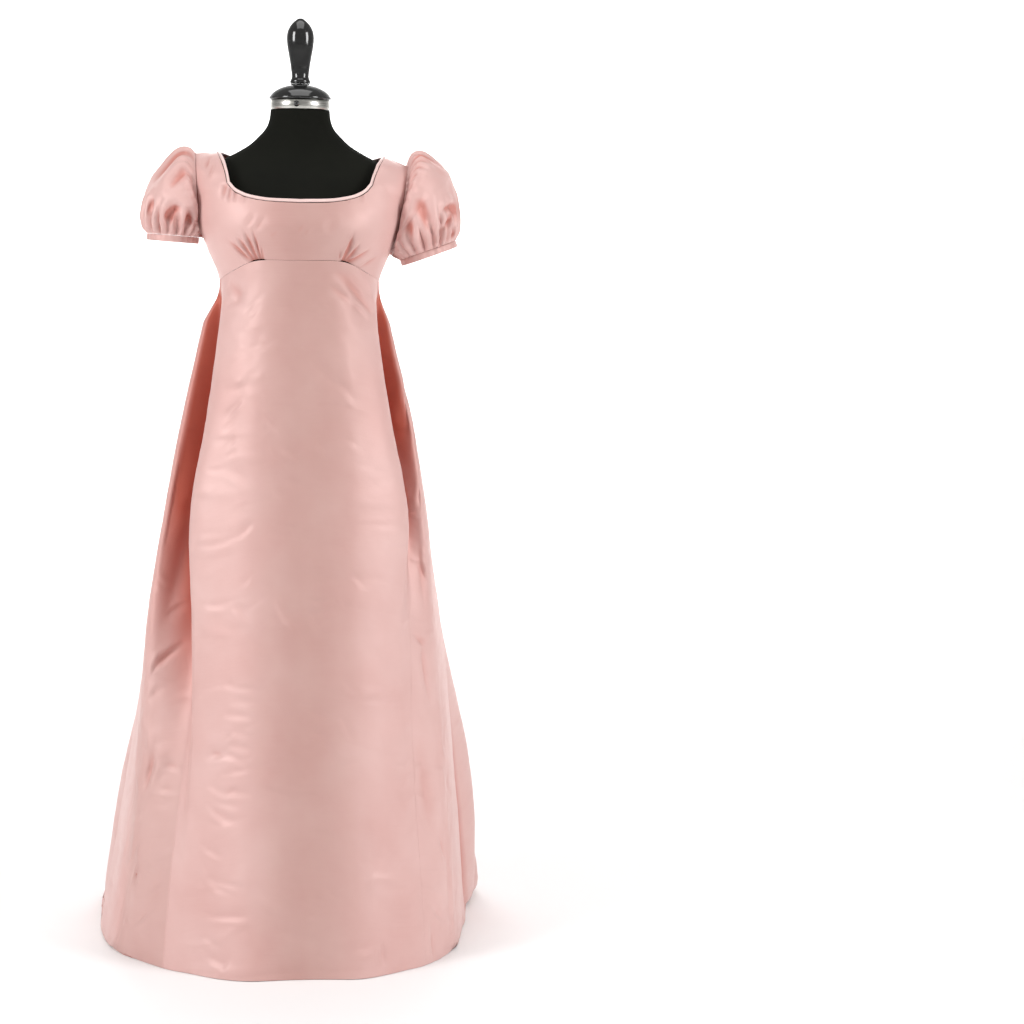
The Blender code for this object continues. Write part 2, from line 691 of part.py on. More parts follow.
def ease_bend(path, contact, reach):
    """Rounds the path where it meets the floor, over a reach to each side of the contact."""
    step = np.linalg.norm(path[1] - path[0])
    half = max(int(reach / step / 2), 1)
    padded = np.concatenate([np.repeat(path[:1], half, 0), path, np.repeat(path[-1:], half, 0)])
    kernel = np.hanning(2 * half + 3)[1:-1]
    kernel /= kernel.sum()
    soft = np.column_stack([np.convolve(padded[:, k], kernel, "valid") for k in range(3)])
    away = np.linalg.norm(path - np.array((*contact, 0.0)), axis=1)
    weight = (1 - smoothstep(reach, reach * 2, away))[:, None]
    return path * (1 - weight) + soft * weight


def row_lengths(girth, rows, fall_length, whole_length):
    """The length below the waist seam of each row. Where there is a train, one row follows the line
    where the cloth meets the floor."""
    falling = round(rows * FALL_SHARE)
    even = np.linspace(0, whole_length, rows)
    parted = np.concatenate([
        np.linspace(0, fall_length, falling),
        np.linspace(fall_length, whole_length, rows - falling + 1)[1:],
    ])
    share = smoothstep(*TRAIN_START, girth)
    return even * (1 - share) + parted * share


def round_girth(side, girth):
    """Girth counted on past the centre back, so that the two sides meet at 1."""
    return girth if side > 0 else 2 - girth


def fold_height(side, girth, length):
    """How far the folds move the cloth out at a girth, for lengths below the waist seam."""
    total = np.zeros_like(length)
    for on, at, width, depth, start, full, end in FOLDS:
        apart = round_girth(side, girth) - round_girth(on, at)
        across = math.exp(-((apart / width) ** 2))
        grow = 0.25 * (start == 0) + (1 - 0.25 * (start == 0)) * smoothstep(start, full, length)
        total -= depth * across * grow * (1 - smoothstep(full, end, length))
    return total


def skirt_grid(girths, rows):
    """The skirt's outside: rows go up from the hem, columns go round from the centre back, past the
    gown's right side and the front. Girths are signed, negative on the right side."""
    columns, lengths = [], []
    for girth in girths:
        path, fall_length = meridian(-1 if girth < 0 else 1, abs(girth))
        wanted = row_lengths(abs(girth), rows, fall_length, path_lengths(path)[-1])
        columns.append(at_lengths(path, wanted)[::-1])
        lengths.append(wanted[::-1])
    grid = np.stack(columns, axis=1)
    normals = grid_normals(grid)
    for c, girth in enumerate(girths):
        side = -1 if girth < 0 else 1
        grid[:, c] += normals[:, c] * fold_height(side, abs(girth), lengths[c])[:, None]
    grid[:, :, 2] = np.maximum(grid[:, :, 2], 0.0)
    normals = grid_normals(grid)
    normals[:, (0, -1), 0] = 0.0
    return grid, unit(normals)


def build_skirt(look):
    front = (0.0, 0.075, 0.15, 0.205, 0.245, 0.27, 0.29, 0.315, SEAM_GIRTH)
    back = (SEAM_GIRTH, 0.375, 0.405, 0.44, 0.48, 0.525, 0.57, 0.61, 0.65, 0.69, 0.73, 0.77, 0.805, 0.83)
    gathers = {
        +1: (0.846, 0.862, 0.878, 0.895, 0.910, 0.925, 0.940, 0.955, 0.970, 0.984, 1.0),
        -1: (0.838, 0.853, 0.867, 0.880, 0.893, 0.907, 0.927, 0.948, 0.962, 0.975, 0.988, 1.0),
    }
    rows = 17
    pieces = (
        ("skirt_back_right", [-g for g in reversed(back + gathers[-1])]),
        ("skirt_front", [-g for g in reversed(front[1:])] + list(front)),
        ("skirt_back_left", list(back + gathers[+1])),
    )
    whole = pieces[0][1][:-1] + pieces[1][1] + pieces[2][1][1:]
    grid, normals = skirt_grid(whole, rows)
    start = 0
    for name, girths in pieces:
        end = start + len(girths)
        panel = grid[:, start:end].copy()
        panel[:, 0] += unit(panel[:, 1] - panel[:, 0]) * HALF_GAP
        panel[:, -1] += unit(panel[:, -2] - panel[:, -1]) * HALF_GAP
        points = panel.reshape(-1, 3)
        faces = grid_faces(rows, len(girths))
        add_wall(name, points, normals[:, start:end].reshape(-1, 3), faces, CLOTH, look)
        start = end - 1


# ---- Sleeves ----
sleeve_at = {
    side: through([row[0] for row in rows], [row[1:] for row in rows])
    for side, rows in SLEEVES.items()
}


def armhole(side, count):
    """The armhole's edge, from the shoulder tip down the front, under the arm and up the back."""
    _, front_arm = strap_edges(side, False)
    _, back_arm = strap_edges(side, True)
    angles = np.linspace(FRONT_ARMHOLE, BACK_ARMHOLE, 30)
    shares = np.linspace(0, 1, 20)
    loop = np.concatenate([
        front_arm(shares[::-1])[:-1],
        torso_point(side * angles, chest_at(angles)),
        back_arm(shares)[1:],
    ])
    return spread(loop, count + 1)[:-1]


def sleeve_grid(side, around, along):
    """The sleeve's outside, from the armhole to the cuff. Columns go from the top to the front."""
    turns = np.linspace(0, 2 * math.pi, around, endpoint=False)
    start = armhole(side, around)
    level = unit(start * np.array((0.9, 0.75, 0.0)))
    rise = smoothstep(*TIP_TURNS, start[:, 2])[:, None]
    out = unit(level * (1 - 0.5 * rise) + np.array((0, 0, 1.0)) * rise * 0.8)
    rings = []
    for share in along:
        x, y, z, turn, across, deep = sleeve_at[side](share)
        tilt = math.radians(turn)
        up = np.array((math.sin(tilt), 0, math.cos(tilt)))
        gather = SLEEVE_GATHER_DEPTH * (abs(2 * share - 1) ** 2)
        swell = 1 + gather / across * np.cos(SLEEVE_GATHERS * turns)
        ring = (
            np.array((x, y, z))
            + (across * np.cos(turns) * swell)[:, None] * up
            + (deep * np.sin(turns) * swell)[:, None] * np.array((0, -1.0, 0))
        )
        ring[:, 0] *= side
        leave = smoothstep(0.0, SLEEVE_LEAVE, share)
        near = start + out * (SEAM_GAP * 2 + 0.10 * share)
        ring = near * (1 - leave) + ring * leave
        if share > 0:
            inside = torso_half_width(ring[:, 1], ring[:, 2]) + SLEEVE_CLEAR * min(1, share * 6)
            ring[:, 0] = side * np.maximum(np.abs(ring[:, 0]), inside)
        rings.append(ring)
    return np.array(rings), out


def cuff_frame(side):
    """The cuff's centre, its way down and its way up across the opening."""
    x, y, z, turn, _, _ = sleeve_at[side](1.0)
    tilt = math.radians(turn)
    up = np.array((side * math.sin(tilt), 0, math.cos(tilt)))
    down = np.array((side * math.cos(tilt), 0, -math.sin(tilt)))
    return np.array((side * x, y, z)), down, up


def square_to(normals, way):
    """The normals without what they have along a way, so that a rim lies square to it."""
    return unit(normals - (normals * way).sum(axis=-1, keepdims=True) * way)


def build_sleeves(look, band_look):
    around = 33
    along = (0.0, 0.05, 0.12, 0.22, 0.36, 0.52, 0.68, 0.82, 0.92, 1.0)
    for side, name in ((+1, "left"), (-1, "right")):
        grid, out = sleeve_grid(side, around, along)
        faces = grid_faces(len(along), around, closed=True)
        normals = grid_normals(grid, closed=True)
        _, down, _ = cuff_frame(side)
        normals[0] = square_to(normals[0], out)
        normals[-1] = square_to(normals[-1], down)
        if side > 0:
            faces = [tuple(reversed(f)) for f in faces]
            normals = -normals
        points = grid.reshape(-1, 3)
        add_wall("sleeve_" + name, points, normals.reshape(-1, 3), faces, SLEEVE_CLOTH, look)
        build_sleeve_band(side, "sleeve_band_" + name, band_look)


def build_sleeve_band(side, name, look):
    around = 24
    across, deep = sleeve_at[side](1.0)[-2:]
    centre, down, up = cuff_frame(side)
    turns = np.linspace(0, 2 * math.pi, around, endpoint=False)
    rings = []
    for drop in (SEAM_GAP, BAND_HEIGHT / 2, BAND_HEIGHT):
        grow = 1.02 if drop == BAND_HEIGHT / 2 else 1.0
        ring = (
            centre + down * drop
            + (across * grow * np.cos(turns))[:, None] * up
            + (deep * grow * np.sin(turns))[:, None] * np.array((0, -1.0, 0))
        )
        rings.append(ring)
    grid = np.array(rings)
    faces = grid_faces(len(rings), around, closed=True)
    normals = square_to(grid_normals(grid, closed=True), down)
    if side > 0:
        faces = [tuple(reversed(f)) for f in faces]
        normals = -normals
    add_wall(name, grid.reshape(-1, 3), normals.reshape(-1, 3), faces, BAND_CLOTH, look)


# ---- Drawstring ----
def build_cord(name, route, look, points_apart=2.4):
    route = np.array(route)
    knots = path_lengths(route)
    fine = through(knots, route)(np.linspace(0, knots[-1], 400))
    count = int(path_lengths(fine)[-1] / (CORD_DIAMETER * points_apart)) + 2
    path = spread(fine, count)
    curve = bpy.data.curves.new(name, "CURVE")
    curve.dimensions = "3D"
    curve.bevel_depth = CORD_DIAMETER / 2
    curve.bevel_resolution = 2
    curve.use_fill_caps = True
    line = curve.splines.new("POLY")
    line.points.add(count - 1)
    for point, place in zip(line.points, path):
        point.co = (*map(float, place), 1.0)
    curve.materials.append(look)
    cord = bpy.data.objects.new(name, curve)
    bpy.context.scene.collection.objects.link(cord)
    return path


def build_drawstring(look):
    path = build_cord("drawstring_ends", STRING_ENDS, look)
    build_cord("drawstring_loop", STRING_LOOP, look)
    way = unit(path[-1] - path[-2])
    centre = path[-1] + way * (KNOT_RADIUS + SEAM_GAP)
    add_turned("drawstring_knot", [(-KNOT_RADIUS, 0.0020), (-0.0026, 0.0038), (0.0, KNOT_RADIUS),
                                   (0.0026, 0.0038), (KNOT_RADIUS, 0.0020)],
               look, sides=12, centre=centre, axis=way)


# ---- Dress form ----
def add_turned(name, profile, look, sides=ROUND, centre=(0.0, 0.0, 0.0), axis=(0.0, 0.0, 1.0)):
    """A solid turned about an axis, from rows of (distance along it, radius)."""
    axis = unit(np.array(axis, float))
    helper = np.array((1.0, 0, 0)) if abs(axis[0]) < 0.9 else np.array((0, 1.0, 0))
    first = unit(np.cross(helper, axis))
    second = np.cross(axis, first)
    turns = np.linspace(0, 2 * math.pi, sides, endpoint=False)
    circle = np.cos(turns)[:, None] * first + np.sin(turns)[:, None] * second
    points = np.concatenate([np.array(centre) + axis * along + circle * radius for along, radius in profile])
    faces = grid_faces(len(profile), sides, closed=True)
    faces.append(tuple(reversed(range(sides))))
    faces.append(tuple((len(profile) - 1) * sides + c for c in range(sides)))
    return add_facing_out(name, points, faces, look)


def build_form_body(look):
    rings = []
    turns = np.linspace(0, 2 * math.pi, ROUND, endpoint=False)
    s, c = np.sin(turns), np.cos(turns)
    for height, half_width, front, back in FORM:
        depth = np.where(c > 0, front, back)
        ring = np.column_stack([half_width * s, NECK_CENTRE_Y - depth * c, np.full(ROUND, height)])
        rings.append(ring)
    points = np.concatenate(rings)
    faces = grid_faces(len(FORM), ROUND, closed=True)
    faces.append(tuple(reversed(range(ROUND))))
    faces.append(tuple((len(FORM) - 1) * ROUND + k for k in range(ROUND)))
    add_facing_out("form_body", points, faces, look)


def build_form():
    cloth = material("form_cloth", BLACK_CLOTH, 0.9)
    gloss = material("form_gloss", BLACK_GLOSS, 0.15)
    metal = material("form_metal", SILVER, 0.3, 1.0)
    steel = material("form_steel", POLE_STEEL, 0.35, 1.0)
    build_form_body(cloth)
    add_turned("form_neck_band", NECK_BAND, metal)
    add_turned("form_neck_cap", NECK_CAP, gloss)
    add_turned("form_handle", HANDLE, gloss, sides=24)
    add_turned("form_pole", POLE, steel, sides=16)
    add_turned("form_base", BASE, gloss, sides=40)
    band_middle = (NECK_BAND[1][0] + NECK_BAND[2][0]) / 2
    knob_start = (-0.006, -NECK_BAND[1][1] - SEAM_GAP, band_middle)
    add_turned("form_band_knob", BAND_KNOB, gloss, sides=16, centre=knob_start, axis=(0, -1, 0))


def main():
    clear_scene()
    taffeta = material("rose_taffeta", ROSE, 0.38)
    trim = material("rose_trim", ROSE_TRIM, 0.5)
    build_bodice(taffeta)
    build_binding(trim)
    build_skirt(taffeta)
    build_sleeves(taffeta, taffeta)
    build_drawstring(trim)
    build_form()


main()
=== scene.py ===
"""The looks of a regency gown on a limbless dress form, in metres, +Z up, the gown's front facing -Y.

Left and right are the wearer's: the gown's left side is at +X. The tables of the first part are the
form's and the gown's own sizes. Creases are given one row a crease.
"""

import json
import math

import bpy
import numpy as np
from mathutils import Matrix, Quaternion, Vector

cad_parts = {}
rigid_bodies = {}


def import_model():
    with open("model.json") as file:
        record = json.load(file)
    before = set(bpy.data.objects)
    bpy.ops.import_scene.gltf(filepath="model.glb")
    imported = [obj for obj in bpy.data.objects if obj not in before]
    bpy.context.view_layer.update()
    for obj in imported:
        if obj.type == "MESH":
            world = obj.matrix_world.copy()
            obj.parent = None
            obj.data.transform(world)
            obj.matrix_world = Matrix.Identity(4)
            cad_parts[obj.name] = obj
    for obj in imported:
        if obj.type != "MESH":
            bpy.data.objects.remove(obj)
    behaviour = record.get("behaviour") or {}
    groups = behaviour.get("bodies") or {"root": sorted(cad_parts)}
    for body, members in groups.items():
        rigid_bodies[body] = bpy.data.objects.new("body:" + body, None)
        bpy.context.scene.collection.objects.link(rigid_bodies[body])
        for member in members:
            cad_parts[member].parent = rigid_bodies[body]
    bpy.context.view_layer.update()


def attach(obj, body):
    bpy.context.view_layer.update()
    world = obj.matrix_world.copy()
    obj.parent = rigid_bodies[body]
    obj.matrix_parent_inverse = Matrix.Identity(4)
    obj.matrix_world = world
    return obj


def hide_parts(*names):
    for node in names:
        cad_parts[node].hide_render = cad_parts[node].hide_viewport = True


for found in list(bpy.data.objects):
    bpy.data.objects.remove(found, do_unlink=True)
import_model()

# ---- Cloth ----
CLOTH = 0.0020  # wall of the skirt and the bodice
SEAM_GAP = 0.0003  # between pieces at a seam
HALF_GAP = SEAM_GAP / 2

# ---- Torso that the bodice follows: one row a level ----
# Columns: height, half width, depth to the front, depth to the back
TORSO = (
    (1.100, 0.129, 0.102, 0.088),
    (1.140, 0.133, 0.107, 0.090),
    (1.180, 0.149, 0.124, 0.094),
    (1.215, 0.162, 0.137, 0.097),
    (1.250, 0.170, 0.131, 0.098),
    (1.290, 0.172, 0.112, 0.094),
    (1.310, 0.172, 0.098, 0.088),
)
TORSO_SQUARENESS = 2.2  # 2 is an ellipse

# ---- Waist seam and the bodice's top edge ----
# Columns: angle from the centre front, height
WAIST = (
    (0, 1.168),
    (28, 1.166),
    (50, 1.150),
    (75, 1.136),
    (90, 1.130),
    (120, 1.118),
    (150, 1.112),
    (180, 1.112),
)
CHEST = (
    (0, 1.2595),
    (20, 1.2630),
    (31, 1.2705),
    (37, 1.2790),
    (41, 1.2890),
    (58, 1.2720),
    (76, 1.2450),
    (84, 1.2200),
    (96, 1.2050),
    (115, 1.2080),
    (136, 1.2480),
    (152, 1.2740),
    (167, 1.2900),
    (180, 1.2820),
)
NECK_CORNER = 41  # angles where the straps' bases begin and end
FRONT_ARMHOLE = 76
SIDE_SEAM = 90
BACK_ARMHOLE = 136
BACK_NECK = 167
CENTRE_BACK = 180

# ---- Shoulders: where each strap's two edges end at the shoulder seam ----
# Columns: side, the neck end's x and z, the sleeve end's x and z
SHOULDERS = (
    (+1, 0.1410, 1.3390, 0.1775, 1.3240),
    (-1, 0.1360, 1.3430, 0.1705, 1.3400),
)
TIP_Y = 0.004
# Outward directions along an edge: what x, y and z of a place count, the heights between which they
# turn upwards, and how much the level way loses and the upward way gains there.
NECK_OUT = ((0.45, 1.0, 0.0), (1.300, 1.342), (0.9, 1.0))
ARMHOLE_OUT = ((0.9, 0.75, 0.0), (1.295, 1.335), (0.5, 0.8))
# Each edge of a strap between its base and the shoulder: share of the way in x, its y, and how far it
# is below the shoulder's end.
FRONT_NECK_EDGE = ((0.25, -0.0690, 0.0330), (0.55, -0.0490, 0.0170), (0.82, -0.0260, 0.0060))
FRONT_ARM_EDGE = ((0.30, -0.044, 0.060), (0.70, -0.030, 0.0240))
BACK_NECK_EDGE = ((0.26, 0.0830, 0.0350), (0.58, 0.0640, 0.0155))
BACK_ARM_EDGE = ((0.18, 0.0760, 0.0500), (0.62, 0.0450, 0.0180))

# ---- Skirt sections: one row a level, for the half on each side ----
SECTION_COLUMNS = (
    "height", "front_y", "panel_x", "panel_y", "valley_x", "valley_y",
    "outer_x", "outer_y", "side_x", "side_y", "back_x", "back_y", "centre_y",
)
SKIRT_RIGHT = (
    (1.17, -0.108, 0.122, -0.040, 0.128, -0.022, 0.131, -0.008, 0.130, 0.020, 0.090, 0.075, 0.092),
    (1.05, -0.112, 0.131, -0.054, 0.122, -0.004, 0.156, -0.010, 0.160, 0.032, 0.120, 0.100, 0.122),
    (0.92, -0.119, 0.149, -0.064, 0.130, 0.010, 0.182, -0.014, 0.188, 0.038, 0.150, 0.124, 0.152),
    (0.75, -0.129, 0.177, -0.072, 0.158, 0.006, 0.212, -0.020, 0.220, 0.040, 0.186, 0.162, 0.194),
    (0.58, -0.139, 0.174, -0.082, 0.166, -0.012, 0.238, -0.024, 0.246, 0.048, 0.220, 0.208, 0.246),
    (0.38, -0.151, 0.172, -0.102, 0.182, -0.062, 0.250, -0.030, 0.272, 0.056, 0.254, 0.264, 0.322),
    (0.18, -0.163, 0.178, -0.118, 0.205, -0.092, 0.268, -0.042, 0.302, 0.060, 0.288, 0.334, 0.432),
    (0.00, -0.176, 0.182, -0.130, 0.220, -0.104, 0.284, -0.032, 0.331, 0.048, 0.318, 0.410, 0.580),
)
SKIRT_LEFT = (
    (1.17, -0.108, 0.122, -0.040, 0.128, -0.022, 0.131, -0.008, 0.130, 0.020, 0.090, 0.075, 0.092),
    (1.05, -0.112, 0.128, -0.052, 0.121, -0.004, 0.150, -0.010, 0.153, 0.032, 0.120, 0.100, 0.122),
    (0.92, -0.119, 0.147, -0.062, 0.132, 0.008, 0.178, -0.014, 0.183, 0.038, 0.148, 0.124, 0.152),
    (0.75, -0.129, 0.178, -0.072, 0.174, -0.022, 0.205, -0.032, 0.214, 0.036, 0.184, 0.162, 0.194),
    (0.58, -0.139, 0.166, -0.094, 0.184, -0.070, 0.218, -0.036, 0.237, 0.040, 0.216, 0.208, 0.246),
    (0.38, -0.151, 0.168, -0.108, 0.190, -0.084, 0.236, -0.040, 0.259, 0.048, 0.246, 0.264, 0.322),
    (0.18, -0.163, 0.174, -0.120, 0.202, -0.096, 0.248, -0.048, 0.275, 0.054, 0.276, 0.334, 0.432),
    (0.00, -0.176, 0.182, -0.130, 0.214, -0.106, 0.258, -0.042, 0.286, 0.044, 0.298, 0.410, 0.580),
)
SECTIONS = {+1: SKIRT_LEFT, -1: SKIRT_RIGHT}
# Girth runs from 0 at the centre front to 1 at the centre back. These are the girths of the section's
# points, and the angle of each on the waist seam.
GIRTH = (0.0, 0.15, 0.27, 0.35, 0.44, 0.57, 0.78, 1.0)
WAIST_ANGLE = (0, 38, 66, 79, 88, 100, 130, 180)
SEAM_GIRTH = 0.35
SAME_GIRTH = 1e-9
PANEL_MIDDLE = (0.62, 0.14)  # of the point half way over the front panel: its shares in x and in y
WAIST_HOLD = 0.07  # how far down the skirt takes the waist seam's own outline

# ---- Train: where the cloth's edge lies on the floor ----
# Columns: girth, how far out the edge lies on the right and on the left, and its y
TRAIN = (
    (0.44, 0.304, 0.258, -0.010),
    (0.51, 0.338, 0.282, 0.120),
    (0.59, 0.350, 0.297, 0.270),
    (0.68, 0.353, 0.305, 0.440),
    (0.78, 0.316, 0.284, 0.610),
    (0.89, 0.187, 0.176, 0.755),
    (1.00, 0.000, 0.000, 0.800),
)
TRAIN_GROWS = 0.055  # girth to each side of the first row over which the train begins
FLOOR_BEND = 0.20  # most length over which the cloth turns from falling to lying
SHORT = 0.004  # a train shorter than this is none
FALL_SHARE = 0.76  # share of the rows that fall, where there is a train
TRAIN_START = (0.40, 0.54)  # girths between which the rows part into falling and lying ones
PATH_SAMPLES = 90

# ---- Folds of the skirt, one row a fold ----
FOLD_AT_WAIST = 0.25  # how much of a fold shows at the waist seam, if it starts there
# Columns: side, girth and width of the trough, its depth, and the lengths below the waist seam where
# it starts, is deepest and ends. A negative depth stands out.
FOLDS = (
    (+1, 0.984, 0.012, 0.020, 0.00, 0.35, 1.10),
    (+1, 0.955, 0.010, -0.010, 0.00, 0.30, 1.05),
    (+1, 0.925, 0.013, 0.022, 0.00, 0.40, 1.20),
    (+1, 0.895, 0.011, -0.010, 0.00, 0.35, 1.15),
    (+1, 0.862, 0.014, 0.024, 0.00, 0.40, 1.15),
    (+1, 0.740, 0.040, -0.030, 0.45, 0.95, 1.50),
    (+1, 0.660, 0.026, 0.022, 0.55, 0.95, 1.35),
    (-1, 0.975, 0.011, -0.010, 0.00, 0.30, 1.10),
    (-1, 0.948, 0.013, 0.022, 0.00, 0.40, 1.25),
    (-1, 0.907, 0.014, 0.026, 0.00, 0.45, 1.20),
    (-1, 0.880, 0.010, -0.008, 0.00, 0.35, 1.00),
    (-1, 0.853, 0.014, 0.022, 0.00, 0.40, 1.10),
    (-1, 0.760, 0.036, -0.026, 0.50, 1.00, 1.50),
    (-1, 0.680, 0.026, 0.020, 0.55, 0.95, 1.35),
)

# ---- Sleeves ----
# Columns: share of the way along, the centre's x, y and z, degrees turned from upright, and half sizes
# upwards and in y
SLEEVE_LEFT = (
    (0.00, 0.158, 0.022, 1.272, 0, 0.066, 0.062),
    (0.14, 0.170, 0.020, 1.274, 14, 0.077, 0.073),
    (0.35, 0.186, 0.017, 1.262, 30, 0.083, 0.082),
    (0.60, 0.198, 0.012, 1.242, 47, 0.078, 0.082),
    (0.82, 0.207, 0.008, 1.214, 62, 0.066, 0.070),
    (0.94, 0.211, 0.006, 1.196, 69, 0.054, 0.054),
    (1.00, 0.212, 0.005, 1.187, 70, 0.049, 0.048),
)
# The right sleeve is pushed up: shorter, and its cuff looks straight down.
SLEEVE_RIGHT = (
    (0.00, 0.158, 0.022, 1.272, 0, 0.066, 0.062),
    (0.14, 0.168, 0.020, 1.276, 16, 0.077, 0.073),
    (0.35, 0.186, 0.017, 1.268, 36, 0.066, 0.080),
    (0.60, 0.200, 0.012, 1.250, 58, 0.060, 0.079),
    (0.82, 0.206, 0.008, 1.228, 76, 0.051, 0.070),
    (0.94, 0.207, 0.006, 1.214, 84, 0.045, 0.057),
    (1.00, 0.2075, 0.005, 1.206, 86, 0.0425, 0.0535),
)
SLEEVES = {+1: SLEEVE_LEFT, -1: SLEEVE_RIGHT}
SLEEVE_CLEAR = 0.006  # from the bodice's side
CLEAR_SHARE = 6  # it is that clear once one part in this many of the sleeve's length is passed
SLEEVE_OFF = 0.10  # how far the sleeve's end moves straight out from the armhole's outline
SLEEVE_LEAVE = 0.22  # share of the sleeve over which it leaves the armhole's own outline
BAND_HEIGHT = 0.011
BAND_CLOTH = 0.0024

# ---- Neck binding ----
BINDING_WIDTH = 0.0052
BINDING_CLOTH = 0.0032

# ---- Drawstring, by points of its route ----
CORD_DIAMETER = 0.0030
STRING_ENDS = (
    (-0.021, 0.1045, 1.262),
    (-0.014, 0.1070, 1.270),
    (-0.005, 0.1085, 1.279),
    (0.004, 0.1095, 1.284),
    (0.016, 0.1085, 1.281),
    (0.027, 0.1055, 1.271),
    (0.034, 0.1035, 1.256),
    (0.038, 0.1030, 1.236),
    (0.041, 0.1025, 1.210),
    (0.044, 0.1010, 1.180),
    (0.047, 0.0985, 1.150),
    (0.050, 0.1010, 1.122),
    (0.053, 0.1120, 1.102),
)
STRING_LOOP = (
    (-0.020, 0.0862, 1.286),
    (-0.029, 0.0790, 1.299),
    (-0.039, 0.0722, 1.312),
    (-0.048, 0.0670, 1.321),
    (-0.055, 0.0660, 1.322),
    (-0.058, 0.0685, 1.315),
    (-0.055, 0.0722, 1.306),
    (-0.050, 0.0765, 1.297),
)
KNOT_RADIUS = 0.0042
KNOT_STRAND = CORD_DIAMETER * 0.36  # radius of the strand in the knot
KNOT_FLAT = 0.5  # how much of the knot's depth is left

# ---- Dress form: one row a level ----
# Columns: height, half width, depth to the front, depth to the back
FORM = (
    (0.790, 0.060, 0.040, 0.040),
    (0.794, 0.100, 0.066, 0.066),
    (0.806, 0.124, 0.082, 0.082),
    (0.840, 0.128, 0.090, 0.092),
    (0.900, 0.124, 0.090, 0.094),
    (0.970, 0.112, 0.084, 0.086),
    (1.040, 0.106, 0.080, 0.074),
    (1.100, 0.112, 0.086, 0.074),
    (1.140, 0.119, 0.094, 0.076),
    (1.180, 0.134, 0.108, 0.080),
    (1.215, 0.146, 0.120, 0.083),
    (1.250, 0.154, 0.116, 0.084),
    (1.280, 0.157, 0.101, 0.081),
    (1.305, 0.154, 0.082, 0.072),
    (1.320, 0.144, 0.066, 0.064),
    (1.331, 0.125, 0.057, 0.057),
    (1.342, 0.104, 0.051, 0.053),
    (1.354, 0.084, 0.048, 0.050),
    (1.368, 0.0685, 0.047, 0.050),
    (1.382, 0.0560, 0.0465, 0.0490),
    (1.398, 0.0500, 0.0470, 0.0485),
    (1.412, 0.0485, 0.0475, 0.0480),
)
# Turned parts. Columns: height, or distance along the axis, and radius
NECK_BAND = ((1.4125, 0.0480), (1.4135, 0.0492), (1.4275, 0.0492), (1.4285, 0.0480))
NECK_CAP = (
    (1.4290, 0.0470), (1.4295, 0.0512), (1.4320, 0.0520), (1.4345, 0.0508), (1.4390, 0.0480),
    (1.4440, 0.0430), (1.4490, 0.0350), (1.4530, 0.0240), (1.4545, 0.0170),
)
HANDLE = (
    (1.4550, 0.0160), (1.4590, 0.0172), (1.4640, 0.0150), (1.4800, 0.0158), (1.5000, 0.0190),
    (1.5180, 0.0222), (1.5300, 0.0230), (1.5400, 0.0215), (1.5500, 0.0165), (1.5570, 0.0100),
    (1.5610, 0.0045),
)
POLE = ((0.0255, 0.0140), (0.7895, 0.0140))
BASE = ((0.0000, 0.1150), (0.0080, 0.1190), (0.0180, 0.1150), (0.0240, 0.0500), (0.0250, 0.0300))

BAND_KNOB = ((0.0, 0.0042), (0.0050, 0.0048), (0.0080, 0.0030))

# ---- Meshes: rows, columns and sides ----
# A stretch is (start, end, steps): girths on the skirt, degrees on the bodice.
SKIRT_ROWS = 300
SKIRT_FRONT_STRETCHES = ((0.0, 0.24, 48), (0.24, SEAM_GIRTH, 26))
SKIRT_BACK_STRETCHES = ((SEAM_GIRTH, 0.48, 26), (0.48, 0.80, 52), (0.80, 1.0, 72))
BODICE_ROWS = 80
STRAP_ROWS = 50
BODICE_FRONT_STRETCHES = (
    (0, NECK_CORNER, 72), (NECK_CORNER, FRONT_ARMHOLE, 34), (FRONT_ARMHOLE, SIDE_SEAM, 10),
)
BODICE_BACK_STRETCHES = (
    (SIDE_SEAM, BACK_ARMHOLE, 30), (BACK_ARMHOLE, BACK_NECK, 26), (BACK_NECK, CENTRE_BACK, 14),
)
SAME_ANGLE = 0.01
SLEEVE_ROWS = 84
SLEEVE_SIDES = 200
BAND_RINGS = 160
BINDING_RINGS = 420
TUBE_SIDES = 16  # of the binding's and the bands' sections
KNOT_RINGS = 120
KNOT_SIDES = 10
CORD_SAMPLES = 600
FORM_FOOT_RINGS = 12
FORM_RINGS = 120
FORM_SIDES = 128

# ---- Fine cloth ----
SHELL = 0.0012  # thickness of the fine cloth
SKIRT_NARROWEST = 0.0046  # half width of the narrowest crease that the skirt's mesh shows
SKIRT_LENGTH = 1.17  # from the waist seam to the hem, at the front
SHARP_EDGE = math.radians(60)
INSIDE_SHADE = 0.62  # how far the cloth's inner side takes the deep colour, as painted shade
# Shape of a crease
CREASE_GROWN = 0.35  # share of its way at which it has its whole depth
CREASE_FADES = 0.4  # share of its way from which it fades
CREASE_ROUND = 0.4  # roundness of its trough, in half widths
CREASE_LIP = (0.45, 1.9)  # the lip on one side: its height, and how far off it is, in half widths
RIDGE_ROUND = 0.5  # roundness of a ridge of the front, in half widths
RIDGE_FADE = 0.10  # girth over which those ridges end at the side-front seam
# Soft unevenness: height, size of the bumps across and down, seed
SKIRT_SOFT = (0.0016, 0.07, 0.16, 3)
BODICE_SOFT = (0.0012, 0.05, 0.05, 5)
BINDING_SOFT = (0.00035, 0.009, 1.0, 31)
SLEEVE_SOFT = {+1: (0.0030, 0.050, 0.070, 42), -1: (0.0030, 0.050, 0.070, 40)}
